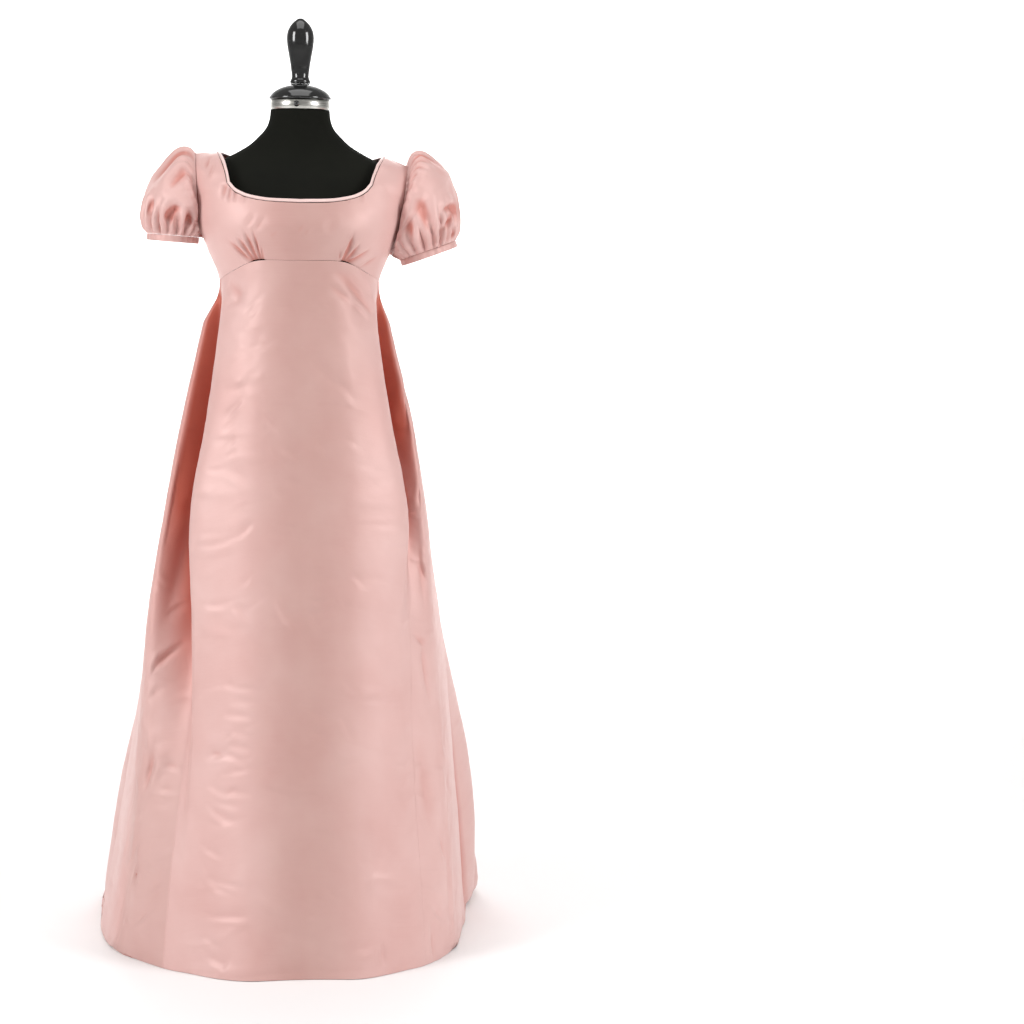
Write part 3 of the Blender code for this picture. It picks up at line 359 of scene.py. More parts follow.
# Crumpling: height, size, seed
SKIRT_CRUMPLE = (0.0009, 0.055, 11)
SKIRT_FINE_CRUMPLE = (0.0005, 0.028, 17)
BODICE_CRUMPLE = (0.0006, 0.030, 23)
SLEEVE_CRUMPLE = {+1: (0.0016, 0.036, 48), -1: (0.0016, 0.036, 46)}
CRUMPLE_SLANT = (0.7, 0.3)  # what across and down count in the place across, on the skirt
FINE_SLANT = (0.4, 1.3)  # and in the place down, for the skirt's fine crumpling
WAIST_FREE = 0.06  # length below the waist seam over which the skirt's unevenness begins
BODICE_HELD = 0.02  # distance from a seam over which the bodice's relief begins
BODICE_RELIEF = (-CLOTH - 0.0030, 0.0040)  # the most that it goes in and out
SLEEVE_HELD = 0.05  # share of the sleeve over which its relief begins, at each end
# How relief gives the folds' deep colour, painted as shade: the depth that would give it whole, what
# is taken off, and the most that it gives
SKIRT_CREASE_SHADE = (0.020, 0.0, 0.8)
BODICE_CREASE_SHADE = (0.0080, 0.1, 0.8)
SLEEVE_CREASE_SHADE = (0.0085, 0.08, 0.6)
BAND_DEEP = 0.12
KNOT_DEEP = 0.1
CUFF_GATHERS = 22
CUFF_GATHER_DEPTH = 0.0070
CUFF_GATHER_GROWS = (0.55, 0.90)  # shares of the sleeve
CUFF_GATHER_ENDS = (0.93, 1.0)
CUFF_GATHER_LOSS = 0.7
CUFF_SEED = 1.0
BAND_RIPPLE = 0.0008
BAND_ARC = 0.62  # of the sleeve's cloth for each radian
BAND_POWERS = (0.5, 0.7)  # how square the band's section is, along it and through it
ARMHOLE_GATHERS = 26
ARMHOLE_GATHER_DEPTH = 0.0036
ARMHOLE_GATHER_GROWS = (0.0, 0.03)
ARMHOLE_GATHER_ENDS = (0.06, 0.40)
ARMHOLE_SEED = 4.0
SLEEVE_ARC = 0.078  # metres of sleeve for each radian round it
SLEEVE_LENGTH = 0.200
BODICE_ARC = 0.0024  # metres of bodice for each degree round it
BINDING_ARC = 0.0012  # metres of binding for each radian round its section
BAND_STEP = 0.0014  # metres of band from one corner of its section to the next
KNOT_STEP = 0.0007  # the same in the knot
# Painted shade in the deep sides of the skirt: side, girth, width, and the lengths below the waist to
# which the deep colour is full and where it ends.
VALLEY_SHADE = (
    (-1, 0.365, 0.042, 0.45, 0.80),
    (-1, 0.410, 0.050, 0.30, 0.72),
    (+1, 0.362, 0.038, 0.30, 0.52),
    (+1, 0.405, 0.046, 0.20, 0.46),
)

# ---- Colours ----
ROSE = (0.660, 0.395, 0.365)
ROSE_PALE = (0.720, 0.470, 0.440)
# the deep colour painted as shade in folds, side valleys and on the cloth's inner side
ROSE_FOLD_SHADE = (0.500, 0.115, 0.075)
PAINTED_SHADE_TINT = (0.77, 0.735, 0.71)  # what the parts in painted shade keep of each colour
PAINTED_SHADE_FROM = (-0.112, 0.002)  # across the front, where the painted shade of the middle begins
PAINTED_SHADE_TO = (0.028, 0.150)  # and where it ends
SIDE_PAINTED_SHADE = 0.5  # how dark the painted shade on the foot of the right side is
SIDE_PAINTED_SHADE_DOWN = (0.55, 0.95)  # below the waist seam
SIDE_PAINTED_SHADE_BACK = (0.16, 0.28)  # back from the side-front seam
TRIM = (0.76, 0.53, 0.50)
TRIM_PALE = (0.84, 0.64, 0.61)
BLACK_CLOTH = (0.006, 0.006, 0.005)
BLACK_GLOSS = (0.006, 0.006, 0.006)
SILVER = (0.62, 0.61, 0.57)
POLE_STEEL = (0.45, 0.45, 0.45)

# ---- Camera and light ----
CAMERA_PLACE = (-0.0065, -4.0519, 1.1949)
CAMERA_TURN = (5.140, 6.242, 0.748)  # yaw to the right, pitch down and roll, in degrees
CAMERA_LENS = 85.38
CAMERA_SENSOR = 36.0
CAMERA_SEES = (0.05, 100.0)
PAPER_HALF_WIDTH = 14.0
PAPER_FRONT = -9.0
PAPER_BACK = 4.0  # where it begins to turn up
PAPER_BEND = 3.0
PAPER_TOP = 12.0
BEND_STEPS = 24
FLOOR_GAP = 0.0005  # the paper lies this far under the gown
AIR = 0.34
# Columns: name, place, target, size, watts
LIGHTS = (
    ("left_soft", (-3.1, -2.1, 2.2), (0.0, 0.0, 0.80), (1.2, 2.2), 92.0),
    ("right_soft", (3.2, -2.0, 2.1), (0.0, 0.0, 0.80), (1.2, 2.2), 84.0),
    ("top_soft", (0.0, -0.6, 4.0), (0.0, 0.0, 0.8), (2.4, 2.4), 34.0),
    ("back_soft", (0.0, 4.0, 2.6), (0.0, 0.0, 0.8), (2.4, 1.8), 46.0),
    ("paper_left", (-2.5, 3.6, 3.2), (-1.5, 7.0, 2.6), (2.4, 2.4), 260.0),
    ("paper_right", (2.5, 3.6, 3.2), (1.5, 7.0, 2.6), (2.4, 2.4), 260.0),
)

# ---- Creases: one row a crease ----
# From one place to another on the panel, the trough's half width and depth, its share of that depth at
# its start, and how far it bows. A negative depth stands out.
# Columns: across, down, to_across, to_down, width, depth, start, bow
# On the skirt's front: distance from the centre line, and below the waist seam.
FRONT_CREASES = (
    # tucks under the waist seam, at each side
    (-0.132, 0.020, -0.088, 0.046, 0.0070, 0.0050, 0.6, 0.004),
    (-0.128, 0.049, -0.090, 0.058, 0.0040, 0.0030, 0.8, -0.002),
    (-0.092, 0.075, -0.066, 0.055, 0.0035, 0.0018, 0.2, 0.001),
    (-0.086, 0.086, -0.058, 0.066, 0.0035, 0.0016, 0.2, 0.001),
    (-0.074, 0.064, -0.050, 0.046, 0.0040, 0.0014, 0.2, 0.000),
    (0.136, 0.058, 0.040, 0.012, 0.0090, 0.0062, 0.8, 0.004),
    (0.134, 0.034, 0.056, 0.002, 0.0070, 0.0042, 0.8, 0.003),
    (0.118, 0.072, 0.086, 0.056, 0.0040, 0.0034, 0.5, 0.001),
    (0.098, 0.062, 0.034, 0.034, 0.0060, 0.0036, 0.3, -0.003),
    (0.034, 0.064, 0.060, 0.082, 0.0035, 0.0018, 0.3, 0.000),
    (0.022, 0.072, 0.050, 0.094, 0.0035, 0.0016, 0.3, 0.000),
    # the upper front
    (0.008, 0.146, 0.092, 0.226, 0.0110, 0.0042, 0.1, 0.004),
    (0.056, 0.190, 0.100, 0.236, 0.0060, 0.0020, 0.1, -0.003),
    (-0.066, 0.142, -0.030, 0.124, 0.0050, 0.0018, 0.1, 0.001),
    (-0.050, 0.092, -0.078, 0.196, 0.0160, 0.0040, 0.1, 0.006),
    (-0.122, 0.236, -0.084, 0.212, 0.0040, 0.0028, 0.4, 0.001),
    (-0.124, 0.246, -0.100, 0.232, 0.0030, 0.0020, 0.4, 0.000),
    (-0.122, 0.258, -0.096, 0.240, 0.0030, 0.0020, 0.4, 0.001),
    (-0.120, 0.292, -0.098, 0.274, 0.0034, 0.0019, 0.4, 0.000),
    (-0.120, 0.308, -0.096, 0.300, 0.0030, 0.0017, 0.4, 0.001),
    (-0.158, 0.322, -0.118, 0.327, 0.0032, 0.0018, 0.5, 0.001),
    (-0.122, 0.324, -0.072, 0.372, 0.0060, 0.0024, 0.3, -0.003),
    (-0.066, 0.232, -0.018, 0.292, 0.0044, 0.0028, 0.3, 0.002),
    (-0.058, 0.276, -0.036, 0.256, 0.0034, 0.0026, 0.3, 0.001),
    (-0.064, 0.266, -0.048, 0.244, 0.0030, 0.0020, 0.3, 0.000),
    (-0.048, 0.290, -0.038, 0.320, 0.0034, 0.0020, 0.3, 0.001),
    (-0.034, 0.300, 0.010, 0.328, 0.0040, 0.0022, 0.3, -0.001),
    (0.026, 0.281, 0.112, 0.300, 0.0042, 0.0020, 0.4, -0.004),
    (0.028, 0.288, 0.054, 0.328, 0.0036, 0.0020, 0.3, 0.002),
    (-0.090, 0.440, -0.072, 0.418, 0.0034, 0.0030, 0.3, 0.001),
    (-0.030, 0.352, 0.020, 0.372, 0.0050, 0.0014, 0.2, 0.002),
    (-0.046, 0.368, -0.020, 0.388, 0.0040, 0.0014, 0.2, 0.001),
    (0.020, 0.200, 0.052, 0.210, 0.0040, 0.0012, 0.2, 0.001),
    # the middle
    (-0.150, 0.545, -0.102, 0.552, 0.0040, 0.0022, 0.5, 0.002),
    (-0.106, 0.550, -0.070, 0.596, 0.0050, 0.0024, 0.3, -0.003),
    (-0.094, 0.528, -0.068, 0.496, 0.0034, 0.0018, 0.3, 0.001),
    (-0.082, 0.564, -0.044, 0.534, 0.0036, 0.0022, 0.3, 0.001),
    (-0.070, 0.600, -0.045, 0.576, 0.0036, 0.0020, 0.3, 0.001),
    (-0.038, 0.542, -0.004, 0.604, 0.0050, 0.0026, 0.3, 0.002),
    (-0.018, 0.578, -0.002, 0.602, 0.0030, 0.0018, 0.3, 0.000),
    (0.000, 0.543, 0.056, 0.562, 0.0036, 0.0018, 0.3, -0.002),
    (0.014, 0.562, 0.042, 0.614, 0.0044, 0.0020, 0.3, 0.002),
    (0.064, 0.540, 0.084, 0.568, 0.0034, 0.0020, 0.3, 0.001),
    (0.080, 0.500, 0.114, 0.532, 0.0040, 0.0018, 0.3, -0.001),
    (0.018, 0.645, 0.070, 0.635, 0.0040, 0.0014, 0.3, 0.001),
    (-0.072, 0.620, -0.040, 0.640, 0.0050, 0.0014, 0.3, 0.001),
    (-0.114, 0.682, -0.052, 0.697, 0.0036, 0.0030, 0.5, 0.002),
    (-0.104, 0.711, -0.055, 0.716, 0.0030, 0.0022, 0.5, 0.001),
    (-0.114, 0.729, -0.062, 0.741, 0.0036, 0.0030, 0.5, 0.001),
    (-0.070, 0.683, -0.046, 0.671, 0.0030, 0.0020, 0.3, 0.000),
    (-0.090, 0.760, -0.052, 0.736, 0.0036, 0.0020, 0.3, 0.002),
    (-0.120, 0.771, -0.104, 0.760, 0.0030, 0.0022, 0.5, 0.000),
    (-0.104, 0.760, -0.062, 0.775, 0.0036, 0.0024, 0.6, 0.001),
    (-0.112, 0.780, -0.060, 0.796, 0.0034, 0.0026, 0.5, 0.001),
    (-0.150, 0.796, -0.114, 0.792, 0.0036, 0.0024, 0.4, 0.001),
    (-0.118, 0.792, -0.072, 0.824, 0.0036, 0.0026, 0.5, -0.002),
    (-0.088, 0.812, -0.068, 0.796, 0.0030, 0.0018, 0.3, 0.000),
    (-0.122, 0.824, -0.046, 0.819, 0.0036, 0.0026, 0.5, 0.002),
    (-0.148, 0.840, -0.110, 0.862, 0.0036, 0.0024, 0.4, 0.001),
    (-0.116, 0.862, -0.096, 0.850, 0.0030, 0.0026, 0.5, 0.000),
    (0.010, 0.726, 0.068, 0.752, 0.0042, 0.0022, 0.3, 0.002),
    (0.018, 0.765, 0.048, 0.776, 0.0034, 0.0026, 0.4, 0.001),
    (0.064, 0.736, 0.092, 0.790, 0.0050, 0.0022, 0.3, -0.003),
    (0.072, 0.684, 0.104, 0.705, 0.0044, 0.0022, 0.3, 0.001),
    (0.044, 0.786, 0.072, 0.826, 0.0060, 0.0022, 0.3, 0.003),
    (0.070, 0.822, 0.108, 0.804, 0.0050, 0.0018, 0.3, 0.001),
    # the lower front
    (-0.156, 0.794, -0.100, 0.786, 0.0036, 0.0024, 0.4, -0.002),
    (-0.152, 0.780, -0.096, 0.804, 0.0036, 0.0026, 0.4, 0.002),
    (-0.122, 0.856, -0.054, 0.874, 0.0036, 0.0026, 0.4, -0.002),
    (-0.150, 0.874, -0.086, 0.914, 0.0040, 0.0028, 0.4, 0.002),
    (-0.140, 0.884, -0.098, 0.918, 0.0032, 0.0020, 0.4, 0.001),
    (-0.134, 0.868, -0.080, 0.890, 0.0030, 0.0018, 0.4, 0.001),
    (-0.162, 0.936, -0.112, 0.966, 0.0036, 0.0028, 0.4, 0.002),
    (-0.160, 0.966, -0.120, 1.020, 0.0050, 0.0020, 0.3, 0.003),
    (-0.146, 0.992, -0.080, 1.018, 0.0040, 0.0028, 0.4, 0.002),
    (-0.142, 1.004, -0.100, 1.026, 0.0034, 0.0020, 0.4, 0.001),
    (-0.146, 1.056, -0.060, 1.068, 0.0040, 0.0030, 0.4, 0.001),
    (-0.152, 1.092, -0.120, 1.112, 0.0036, 0.0022, 0.4, 0.001),
    (-0.150, 1.120, -0.108, 1.152, 0.0050, 0.0026, 0.3, -0.003),
    (-0.130, 1.150, -0.104, 1.122, 0.0040, 0.0022, 0.3, 0.001),
    (0.100, 0.974, 0.130, 0.981, 0.0036, 0.0018, 0.4, 0.001),
    (0.034, 1.014, 0.070, 1.040, 0.0042, 0.0018, 0.3, 0.001),
    (0.012, 1.068, 0.036, 1.064, 0.0036, 0.0022, 0.4, 0.000),
    (0.140, 1.112, 0.146, 1.150, 0.0046, 0.0042, 0.6, 0.001),
    (0.030, 1.130, 0.070, 1.150, 0.0050, 0.0018, 0.3, 0.002),
    (0.090, 1.124, 0.124, 1.106, 0.0060, 0.0026, 0.3, 0.002),
    (0.120, 0.900, 0.134, 1.080, 0.0120, 0.0034, 0.2, 0.003),
    (0.090, 0.640, 0.112, 0.980, 0.0200, 0.0030, 0.2, -0.004),
    (-0.060, 0.860, -0.020, 1.100, 0.0220, 0.0030, 0.1, 0.004),
)
# Soft ridges that run down the skirt's front: distance from the centre line at the top and at the hem,
# half width, height, and the lengths below the waist seam between which it grows.
FRONT_RIDGES = (
    (-0.052, -0.078, 0.040, 0.0085, 0.02, 0.16),
    (0.074, 0.104, 0.036, 0.0080, 0.04, 0.20),
)
# On the skirt's sides: distance back from the side-front seam, and below the waist seam.
RIGHT_SIDE_CREASES = (
    (0.090, 0.660, 0.012, 0.612, 0.0070, 0.0060, 0.3, 0.006),
    (0.060, 0.640, 0.008, 0.600, 0.0044, 0.0036, 0.4, 0.003),
    (0.050, 0.560, 0.010, 0.540, 0.0044, 0.0036, 0.5, 0.003),
    (0.100, 0.700, 0.040, 0.684, 0.0050, 0.0030, 0.4, 0.002),
    (0.020, 0.380, 0.074, 0.620, 0.0150, 0.0080, 0.2, 0.008),
    (0.060, 0.250, 0.090, 0.560, 0.0160, 0.0060, 0.1, 0.006),
    (0.010, 0.820, 0.052, 0.800, 0.0040, 0.0026, 0.4, 0.001),
    (0.016, 0.856, 0.044, 0.846, 0.0040, 0.0026, 0.4, 0.001),
    (0.070, 0.780, 0.110, 0.880, 0.0120, 0.0060, 0.2, 0.004),
    (0.110, 1.000, 0.080, 1.006, 0.0040, 0.0060, 0.6, 0.001),
    (0.030, 0.990, 0.078, 0.962, 0.0040, 0.0028, 0.3, 0.001),
    (0.022, 1.004, 0.058, 1.030, 0.0040, 0.0028, 0.3, 0.001),
    (0.040, 1.050, 0.096, 1.090, 0.0050, 0.0030, 0.3, 0.002),
    (0.080, 1.020, 0.130, 1.016, 0.0040, 0.0022, 0.3, 0.001),
)
LEFT_SIDE_CREASES = (
    (0.008, 0.600, 0.050, 0.606, 0.0040, 0.0034, 0.5, 0.001),
    (0.030, 0.606, 0.052, 0.720, 0.0080, 0.0040, 0.4, 0.004),
    (0.050, 0.500, 0.014, 0.470, 0.0060, 0.0044, 0.4, 0.003),
    (0.020, 0.420, 0.044, 0.560, 0.0100, 0.0040, 0.3, 0.004),
    (0.080, 0.180, 0.040, 0.290, 0.0140, 0.0070, 0.3, 0.006),
    (0.070, 0.340, 0.030, 0.400, 0.0080, 0.0040, 0.3, 0.002),
    (0.020, 0.780, 0.036, 0.960, 0.0120, 0.0034, 0.3, 0.003),
    (0.060, 0.930, 0.100, 0.980, 0.0080, 0.0030, 0.3, 0.003),
    (0.020, 1.050, 0.070, 1.080, 0.0060, 0.0030, 0.3, 0.002),
    (0.020, 1.090, 0.024, 1.160, 0.0040, 0.0040, 0.6, 0.000),
)
# On the skirt's back: distance from the centre back, positive on the gown's left, and below the seam.
BACK_CREASES = (
    # fine gathers at the waist
    (0.074, 0.000, 0.082, 0.120, 0.0034, 0.0050, 1.0, 0.000),
    (0.056, 0.000, 0.062, 0.090, 0.0030, 0.0040, 1.0, 0.000),
    (0.048, 0.000, 0.052, 0.160, 0.0034, 0.0050, 1.0, 0.001),
    (0.027, 0.000, 0.030, 0.110, 0.0030, 0.0046, 1.0, 0.000),
    (0.017, 0.000, 0.020, 0.180, 0.0034, 0.0050, 1.0, 0.001),
    (-0.004, 0.000, -0.002, 0.100, 0.0030, 0.0040, 1.0, 0.000),
    (-0.015, 0.000, -0.018, 0.170, 0.0034, 0.0050, 1.0, 0.001),
    (-0.035, 0.000, -0.042, 0.120, 0.0030, 0.0046, 1.0, 0.000),
    (-0.056, 0.000, -0.066, 0.140, 0.0034, 0.0046, 1.0, 0.001),
    (-0.078, 0.000, -0.088, 0.110, 0.0030, 0.0040, 1.0, 0.000),
    (0.090, 0.000, 0.100, 0.070, 0.0040, 0.0024, 1.0, 0.000),
    # long soft folds that fall
    (0.100, 0.160, 0.150, 0.640, 0.0140, 0.0100, 0.2, 0.008),
    (0.070, 0.240, 0.110, 0.780, 0.0120, 0.0100, 0.2, 0.004),
    (0.020, 0.300, 0.030, 0.820, 0.0120, 0.0090, 0.2, -0.003),
    (-0.030, 0.260, -0.050, 0.760, 0.0120, 0.0100, 0.2, 0.004),
    (-0.080, 0.200, -0.130, 0.700, 0.0140, 0.0100, 0.2, -0.006),
    (0.160, 0.300, 0.210, 0.700, 0.0160, 0.0060, 0.2, 0.004),
    (-0.160, 0.320, -0.200, 0.740, 0.0160, 0.0060, 0.2, -0.004),
    # where the cloth meets the floor and lies
    (0.075, 0.680, 0.170, 1.180, 0.0170, 0.0150, 0.3, 0.010),
    (0.170, 1.190, 0.120, 1.320, 0.0110, 0.0090, 0.5, 0.004),
    (0.028, 0.820, -0.060, 0.990, 0.0150, 0.0120, 0.3, -0.006),
    (-0.060, 0.980, -0.052, 1.260, 0.0130, 0.0110, 0.6, 0.004),
    (-0.052, 1.250, 0.042, 1.460, 0.0120, 0.0090, 0.6, 0.003),
    (-0.230, 0.800, -0.330, 1.120, 0.0170, 0.0130, 0.3, -0.006),
    (-0.244, 1.210, -0.150, 1.330, 0.0100, 0.0070, 0.4, 0.003),
    (-0.250, 1.080, -0.330, 1.400, 0.0130, 0.0090, 0.4, 0.005),
    (0.330, 0.980, 0.560, 1.300, 0.0160, 0.0120, 0.3, 0.008),
    (0.300, 0.900, 0.360, 1.040, 0.0120, 0.0080, 0.3, -0.004),
    (0.240, 1.120, 0.400, 1.220, 0.0130, 0.0080, 0.3, 0.004),
    (-0.410, 0.980, -0.520, 1.180, 0.0140, 0.0090, 0.3, 0.006),
    (0.110, 1.380, 0.060, 1.460, 0.0070, 0.0070, 0.5, 0.002),
    (0.060, 1.400, 0.090, 1.470, 0.0060, 0.0060, 0.5, -0.002),
    (0.020, 1.350, 0.060, 1.440, 0.0070, 0.0060, 0.5, 0.002),
    (0.300, 1.300, 0.200, 1.360, 0.0110, 0.0060, 0.3, 0.003),
    (-0.100, 1.100, -0.150, 1.300, 0.0140, 0.0070, 0.3, 0.004),
    # small crumples
    (0.200, 0.860, 0.240, 0.900, 0.0050, 0.0030, 0.3, 0.001),
    (0.060, 0.560, 0.090, 0.600, 0.0050, 0.0030, 0.3, 0.001),
    (-0.120, 0.620, -0.080, 0.590, 0.0050, 0.0030, 0.3, 0.001),
    (-0.160, 0.860, -0.110, 0.900, 0.0060, 0.0034, 0.3, 0.001),
    (0.120, 0.980, 0.160, 0.950, 0.0050, 0.0030, 0.3, 0.001),
    (-0.020, 1.060, 0.030, 1.090, 0.0050, 0.0030, 0.3, 0.001),
    (-0.010, 0.900, 0.022, 0.930, 0.0050, 0.0030, 0.3, 0.001),
    (-0.280, 0.980, -0.240, 1.010, 0.0060, 0.0034, 0.3, 0.001),
    (-0.360, 1.260, -0.300, 1.300, 0.0070, 0.0040, 0.3, 0.002),
    (0.420, 1.180, 0.460, 1.240, 0.0070, 0.0040, 0.3, 0.002),
)
# On the bodice's front: x and height.
BODICE_FRONT_CREASES = (
    # the gathers under the bust, from the waist seam up
    (-0.0760, 1.1640, -0.1220, 1.2060, 0.0026, 0.0054, 0.9, 0.002),
    (-0.0715, 1.1640, -0.1060, 1.2130, 0.0025, 0.0058, 0.9, 0.001),
    (-0.0665, 1.1640, -0.0930, 1.2240, 0.0025, 0.0060, 0.9, 0.001),
    (-0.0615, 1.1640, -0.0790, 1.2260, 0.0022, 0.0048, 0.9, 0.000),
    (-0.0580, 1.1640, -0.0640, 1.2020, 0.0020, 0.0028, 0.9, 0.000),
    (0.0640, 1.1640, 0.0660, 1.1900, 0.0020, 0.0026, 0.9, 0.000),
    (0.0690, 1.1640, 0.0900, 1.2200, 0.0028, 0.0076, 0.9, -0.001),
    (0.0740, 1.1640, 0.1010, 1.2020, 0.0026, 0.0050, 0.9, -0.001),
    (0.0780, 1.1640, 0.1220, 1.1940, 0.0025, 0.0045, 0.9, -0.002),
    (0.0980, 1.1570, 0.1330, 1.1820, 0.0026, 0.0028, 0.5, -0.002),
    # drag lines over the bust
    (-0.0860, 1.2180, -0.0640, 1.2440, 0.0060, 0.0026, 0.3, 0.001),
    (-0.0720, 1.2120, -0.0500, 1.2420, 0.0060, 0.0022, 0.3, 0.001),
    (-0.0080, 1.2060, 0.0160, 1.2400, 0.0060, 0.0026, 0.2, -0.001),
    (0.0040, 1.2020, 0.0240, 1.2340, 0.0050, 0.0018, 0.2, -0.001),
    (-0.0560, 1.2000, -0.0200, 1.2200, 0.0080, 0.0018, 0.2, 0.001),
    (0.0420, 1.2080, 0.0600, 1.2420, 0.0080, 0.0024, 0.2, 0.001),
    # gathers that the neck's drawstring makes
    (-0.1200, 1.2860, -0.1260, 1.2620, 0.0034, 0.0040, 1.0, 0.000),
    (-0.1120, 1.2820, -0.1160, 1.2560, 0.0032, 0.0040, 1.0, 0.000),
    (-0.1030, 1.2780, -0.1060, 1.2560, 0.0030, 0.0034, 1.0, 0.000),
    (-0.0880, 1.2760, -0.0900, 1.2560, 0.0032, 0.0022, 1.0, 0.000),
    (-0.0680, 1.2740, -0.0700, 1.2580, 0.0030, 0.0016, 1.0, 0.000),
    (-0.0400, 1.2730, -0.0400, 1.2570, 0.0030, 0.0014, 1.0, 0.000),
    (-0.0120, 1.2720, -0.0120, 1.2590, 0.0030, 0.0012, 1.0, 0.000),
    (0.0180, 1.2720, 0.0190, 1.2570, 0.0030, 0.0014, 1.0, 0.000),
    (0.0460, 1.2730, 0.0470, 1.2580, 0.0030, 0.0014, 1.0, 0.000),
    (0.0740, 1.2750, 0.0760, 1.2570, 0.0030, 0.0016, 1.0, 0.000),
    (0.0980, 1.2780, 0.1010, 1.2600, 0.0030, 0.0020, 1.0, 0.000),
    (-0.1480, 1.3300, -0.1560, 1.3100, 0.0034, 0.0030, 0.8, 0.000),
    (-0.1420, 1.3200, -0.1500, 1.2960, 0.0034, 0.0022, 0.8, 0.000),
)
# On the bodice's back: x and height.
BODICE_BACK_CREASES = (
    (0.0170, 1.2800, 0.0190, 1.2380, 0.0030, 0.0036, 1.0, 0.000),
    (0.0250, 1.2810, 0.0280, 1.2480, 0.0030, 0.0036, 1.0, 0.000),
    (0.0340, 1.2830, 0.0370, 1.2420, 0.0032, 0.0038, 1.0, 0.000),
    (0.0440, 1.2860, 0.0480, 1.2500, 0.0032, 0.0034, 1.0, 0.000),
    (0.0560, 1.2900, 0.0610, 1.2560, 0.0034, 0.0028, 1.0, 0.000),
    (0.0700, 1.2950, 0.0760, 1.2660, 0.0034, 0.0020, 1.0, 0.000),
    (-0.0180, 1.2800, -0.0190, 1.2600, 0.0030, 0.0018, 1.0, 0.000),
    (-0.0380, 1.2840, -0.0400, 1.2620, 0.0030, 0.0018, 1.0, 0.000),
    (-0.0100, 1.1500, -0.0500, 1.1720, 0.0040, 0.0022, 0.4, 0.001),
    (-0.0120, 1.1360, -0.0540, 1.1560, 0.0040, 0.0022, 0.4, 0.001),
    (-0.0160, 1.1640, -0.0440, 1.1860, 0.0040, 0.0016, 0.3, 0.001),
    (0.0800, 1.1400, 0.1100, 1.1800, 0.0090, 0.0024, 0.2, 0.002),
    (-0.0900, 1.1400, -0.1200, 1.1900, 0.0090, 0.0024, 0.2, 0.002),
    (0.0130, 1.2700, 0.0130, 1.1300, 0.0016, 0.0016, 1.0, 0.000),
)
# On a sleeve: turn in degrees from the top towards the front, share of the way to the cuff.
RIGHT_SLEEVE_CREASES = (
    (20, 0.02, 34, 0.62, 0.0110, 0.0060, 0.6, 0.004),
    (62, 0.10, 70, 0.58, 0.0120, 0.0080, 0.5, 0.004),
    (96, 0.50, 82, 0.93, 0.0090, 0.0120, 0.2, 0.006),
    (112, 0.46, 120, 0.93, 0.0080, 0.0100, 0.3, -0.004),
    (48, 0.60, 40, 0.94, 0.0090, 0.0080, 0.2, 0.004),
    (8, 0.66, 2, 0.96, 0.0080, 0.0080, 0.2, 0.003),
    (140, 0.30, 146, 0.90, 0.0100, 0.0080, 0.3, 0.003),
    (-30, 0.20, -40, 0.80, 0.0120, 0.0060, 0.3, 0.004),
    (-70, 0.10, -80, 0.70, 0.0120, 0.0070, 0.3, 0.003),
    (-110, 0.30, -104, 0.90, 0.0100, 0.0070, 0.3, 0.003),
)
LEFT_SLEEVE_CREASES = (
    (40, 0.00, 30, 0.34, 0.0050, 0.0060, 1.0, 0.002),
    (52, 0.00, 44, 0.36, 0.0046, 0.0060, 1.0, 0.002),
    (64, 0.00, 58, 0.30, 0.0044, 0.0056, 1.0, 0.002),
    (76, 0.00, 74, 0.26, 0.0044, 0.0056, 1.0, 0.001),
    (90, 0.00, 92, 0.22, 0.0044, 0.0050, 1.0, 0.001),
    (20, 0.04, 10, 0.52, 0.0120, 0.0070, 0.5, 0.005),
    (86, 0.30, 92, 0.92, 0.0110, 0.0090, 0.3, 0.005),
    (60, 0.70, 12, 0.84, 0.0060, 0.0080, 0.4, 0.006),
    (70, 0.86, 34, 0.74, 0.0060, 0.0060, 0.4, -0.004),
    (112, 0.40, 118, 0.90, 0.0090, 0.0080, 0.3, 0.003),
    (40, 0.88, 30, 0.98, 0.0050, 0.0060, 0.6, 0.001),
    (-30, 0.10, -36, 0.70, 0.0120, 0.0060, 0.4, 0.004),
    (-70, 0.20, -80, 0.80, 0.0120, 0.0070, 0.3, 0.003),
    (-120, 0.30, -110, 0.90, 0.0100, 0.0070, 0.3, 0.003),
)


# ---- Curves and surfaces ----
UP = np.array((0.0, 0.0, 1.0))
FORWARD = np.array((0.0, -1.0, 0.0))


def through(knots, values):
    """A smooth function of the knot through the values given at increasing knots."""
    knots = np.asarray(knots, float)
    values = np.asarray(values, float)
    slopes = np.gradient(values, knots, axis=0)

    def at(where):
        where = np.clip(np.asarray(where, float), knots[0], knots[-1])
        i = np.clip(np.searchsorted(knots, where, side="right") - 1, 0, len(knots) - 2)
        span = knots[i + 1] - knots[i]
        u = (where - knots[i]) / span
        shape = u.shape + (1,) * (values.ndim - 1)
        u, span = u.reshape(shape), span.reshape(shape)
        rise = u * u * (3 - 2 * u)
        return (
            values[i] * (1 - rise)
            + values[i + 1] * rise
            + slopes[i] * span * u * (1 - u) ** 2
            - slopes[i + 1] * span * u * u * (1 - u)
        )

    return at


def through_rows(rows):
    """A smooth function of the first column through the others."""
    return through([row[0] for row in rows], [row[1:] for row in rows])


def smoothstep(low, high, value):
    t = np.clip((np.asarray(value, float) - low) / (high - low), 0, 1)
    return t * t * (3 - 2 * t)


def turns_of(count):
    """Angles evenly round a whole turn, from 0."""
    return np.linspace(0, 2 * math.pi, count, endpoint=False)


def rounded(off, soft):
    """The distance from a line, made round where it would have its point."""
    return np.sqrt(off**2 + soft**2) - soft


def unit(vectors):
    return vectors / np.maximum(np.linalg.norm(vectors, axis=-1, keepdims=True), 1e-12)


